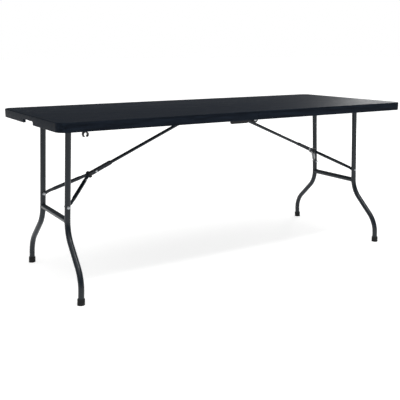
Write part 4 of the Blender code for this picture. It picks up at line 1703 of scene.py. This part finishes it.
    def build_arm(self, side: Side, sign: int) -> None:
        """Build one arm of the wishbone, pressed flat at both ends.

        Args:
            side: Its half of the table.
            sign: The side of Y on the right half.
        """
        bend = self.arm_angle - self.angle
        along = Vector((math.cos(bend), 0, math.sin(bend)))
        inner = Vector((0, sign * self.inner_y, 0))
        outer = Vector((self.arm_length, sign * self.outer_y, 0))
        forward = Vector((1, 0, 0))
        bends = rounded_path(
            [
                inner - self.flat_end * along,
                inner + self.inner_flat * along,
                outer - self.outer_flat * forward,
                outer + self.flat_end * forward,
            ],
            self.arm_bend,
            self.arm_bend_steps,
        )
        half_way = len(bends) // 2
        fill = self.arm_steps
        between = [bends[half_way - 1].lerp(bends[half_way], step / fill) for step in range(1, fill)]
        path = bends[:half_way] + between + bends[half_way:]
        travelled = [0.0]
        for before, after in zip(path, path[1:]):
            travelled.append(travelled[-1] + (after - before).length)
        inner_pressed = self.flat_end + self.inner_flat + self.pressed_past_bend
        outer_pressed = self.flat_end + self.outer_flat + self.pressed_past_bend
        sections = []
        for run in travelled:
            from_inner = self.share_pressed(run, inner_pressed)
            from_outer = self.share_pressed(travelled[-1] - run, outer_pressed)
            sections.append(self.pressed(max(from_inner, from_outer)))
        arm = sweep(path, [Vector((0, 0, 1))] * len(path), sections)
        label = side.label(sign)
        node = f"wishbone_arm_{label}_{side.value}"
        arm.transform(side.turn @ self.arm_place)
        finish_node(arm, "pressed", node, POWDER_COAT, f"{side.value}_wishbone")

    def build_arm_rivet(self, side: Side, sign: int) -> None:
        """Build the rivet at the foot of an arm.

        Args:
            side: Its half of the table.
            sign: The side of Y on the right half.
        """
        size = self.hardware
        rivet = size.dome(size.rivet_radius, size.rivet_height, size.rivet_shank, self.flat_thickness)
        seat = Vector((self.arm_length, sign * (self.outer_y - self.flat_thickness / 2), 0))
        node = f"arm_rivet_{side.label(sign)}_{side.value}"
        rivet.transform(side.turn @ self.arm_place @ along_y(-sign, seat))
        finish_node(rivet, "domed", node, ZINC, f"{side.value}_wishbone")

    def build_joint_rivet(self, side: Side) -> None:
        """Build the flat-headed rivet through the channel and both arms."""
        low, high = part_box("joint_rivet_right")
        half = (high.y - low.y) / 2
        radius = (high.z - low.z) / 2
        outline = pin_outline(half, radius, self.joint_crown, self.joint_head, self.joint_shank)
        node = f"joint_rivet_{side.value}"
        rivet = lathe(outline)
        rivet.transform(side.turn @ self.arm_place @ along_y(1, Vector()))
        finish_node(rivet, "flat", node, ZINC, f"{side.value}_wishbone")


# ---------------------------------------------------------------- the studio


@dataclass
class Studio:
    """A plain pale floor, soft light and the camera."""

    floor_colour: str = "#DCDCDB"
    floor_glow: float = 0.62
    floor_size: float = 120.0
    sun_energy: float = 0.6
    sun_angle: float = math.radians(70)
    camera_place: tuple[float, float, float] = (-1.7005, -2.6147, 1.0004)
    camera_yaw: float = math.radians(31.900)
    camera_pitch: float = math.radians(13.237)
    focal_length: float = 57.49
    sensor_width: float = 36.0
    far_clip: float = 500.0

    def build(self) -> None:
        """Build the floor, the light and the camera."""
        self.build_floor()
        self.build_world()
        self.build_lights()
        self.build_camera()

    def build_floor(self) -> None:
        """A level sheet of matt white paper under the feet."""
        bm = bmesh.new()
        bmesh.ops.create_grid(bm, x_segments=1, y_segments=1, size=self.floor_size / 2)
        floor = as_object(bm, "studio_floor")
        material = bpy.data.materials.new("matt_paper")
        material.use_nodes = True
        shader = material.node_tree.nodes["Principled BSDF"]
        for socket, value in (
            ("Base Color", linear(self.floor_colour)),
            ("Roughness", 0.9),
            ("Specular IOR Level", 0.1),
            ("Emission Color", WHITE),
            ("Emission Strength", self.floor_glow),
        ):
            shader.inputs[socket].default_value = value
        floor.data.materials.append(material)

    def build_world(self) -> None:
        """A sky bright at the horizon and overhead, which the camera sees as plain white."""
        world = bpy.data.worlds.new("soft_studio")
        bpy.context.scene.world = world
        world.use_nodes = True
        tree = world.node_tree
        background = tree.nodes["Background"]
        direction = add_node(tree, "ShaderNodeTexCoord").outputs["Generated"]
        height = add_node(tree, "ShaderNodeSeparateXYZ", {"Vector": direction}).outputs["Z"]
        ramp = add_node(tree, "ShaderNodeValToRGB", {"Fac": height})
        stops = ramp.color_ramp.elements
        stops[0].position, stops[0].color = 0.01, WHITE
        stops[1].position, stops[1].color = 0.07, (0.065, 0.083, 0.106, 1.0)
        for position, strength in ((0.35, 0.13), (0.60, 0.65), (1.0, 0.90)):
            above = stops.new(position)
            above.color = (strength, strength, strength, 1.0)
        seen = add_node(tree, "ShaderNodeLightPath").outputs["Is Camera Ray"]
        sky = add_node(
            tree,
            "ShaderNodeMix",
            {0: seen, 6: ramp.outputs["Color"], 7: WHITE},
            data_type="RGBA",
        )
        tree.links.new(sky.outputs[2], background.inputs["Color"])

    def build_lights(self) -> None:
        """A wide overhead light, a soft box for the highlights and a bright panel past the right end."""
        sun = bpy.data.lights.new("overhead", "SUN")
        sun.energy = self.sun_energy
        sun.angle = self.sun_angle
        self.aim(sun, Vector((-0.8, -1.6, 5.0)), Vector((0, 0, 0)))
        for name, energy, width, depth, place, target in (
            ("soft_box", 22.0, 1.0, 0.22, (0.2, -1.4, 3.0), (0.0, 0.0, 0.4)),
            ("end_panel", 60.0, 1.4, 1.4, (5.2, 3.2, 2.2), (0.9, 0.0, 0.74)),
        ):
            lamp = bpy.data.lights.new(name, "AREA")
            lamp.shape = "RECTANGLE"
            lamp.size, lamp.size_y = width, depth
            lamp.energy = energy
            self.aim(lamp, Vector(place), Vector(target))

    @staticmethod
    def aim(lamp: bpy.types.Light, place: Vector, target: Vector) -> None:
        """Put a lamp somewhere and turn it towards a point.

        Args:
            lamp: The lamp.
            place: Where it goes.
            target: The point that it faces.
        """
        holder = bpy.data.objects.new(lamp.name, lamp)
        bpy.context.scene.collection.objects.link(holder)
        holder.location = place
        holder.rotation_euler = (target - place).to_track_quat("-Z", "Y").to_euler()
        holder.visible_camera = False

    def build_camera(self) -> None:
        """A long lens at seated height, to the front left of the table."""
        lens = bpy.data.cameras.new("camera")
        lens.lens = self.focal_length
        lens.sensor_width = self.sensor_width
        lens.clip_end = self.far_clip
        camera = bpy.data.objects.new("camera", lens)
        bpy.context.scene.collection.objects.link(camera)
        camera.location = self.camera_place
        camera.rotation_euler = (math.pi / 2 - self.camera_pitch, 0.0, -self.camera_yaw)
        bpy.context.scene.camera = camera


def main() -> None:
    """Build every sub-assembly in order, then the studio."""
    logging.basicConfig(level=logging.INFO, format="%(name)s %(message)s")
    bpy.context.scene.view_settings.view_transform = "Standard"
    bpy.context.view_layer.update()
    top, rail, bearing, legs, brace = HalfTop(), SideRail(), PivotBearing(), LegFrame(), Brace()
    for side in Side:
        top.build(side)
        for sign in (-1, 1):
            rail.build(side, sign)
            bearing.build(side, sign)
        legs.build(side)
        brace.build(side)
    hinge = CentreHinge()
    for label in ("front", "rear"):
        hinge.build(label)
    Studio().build()


if __name__ == "__main__":
    main()
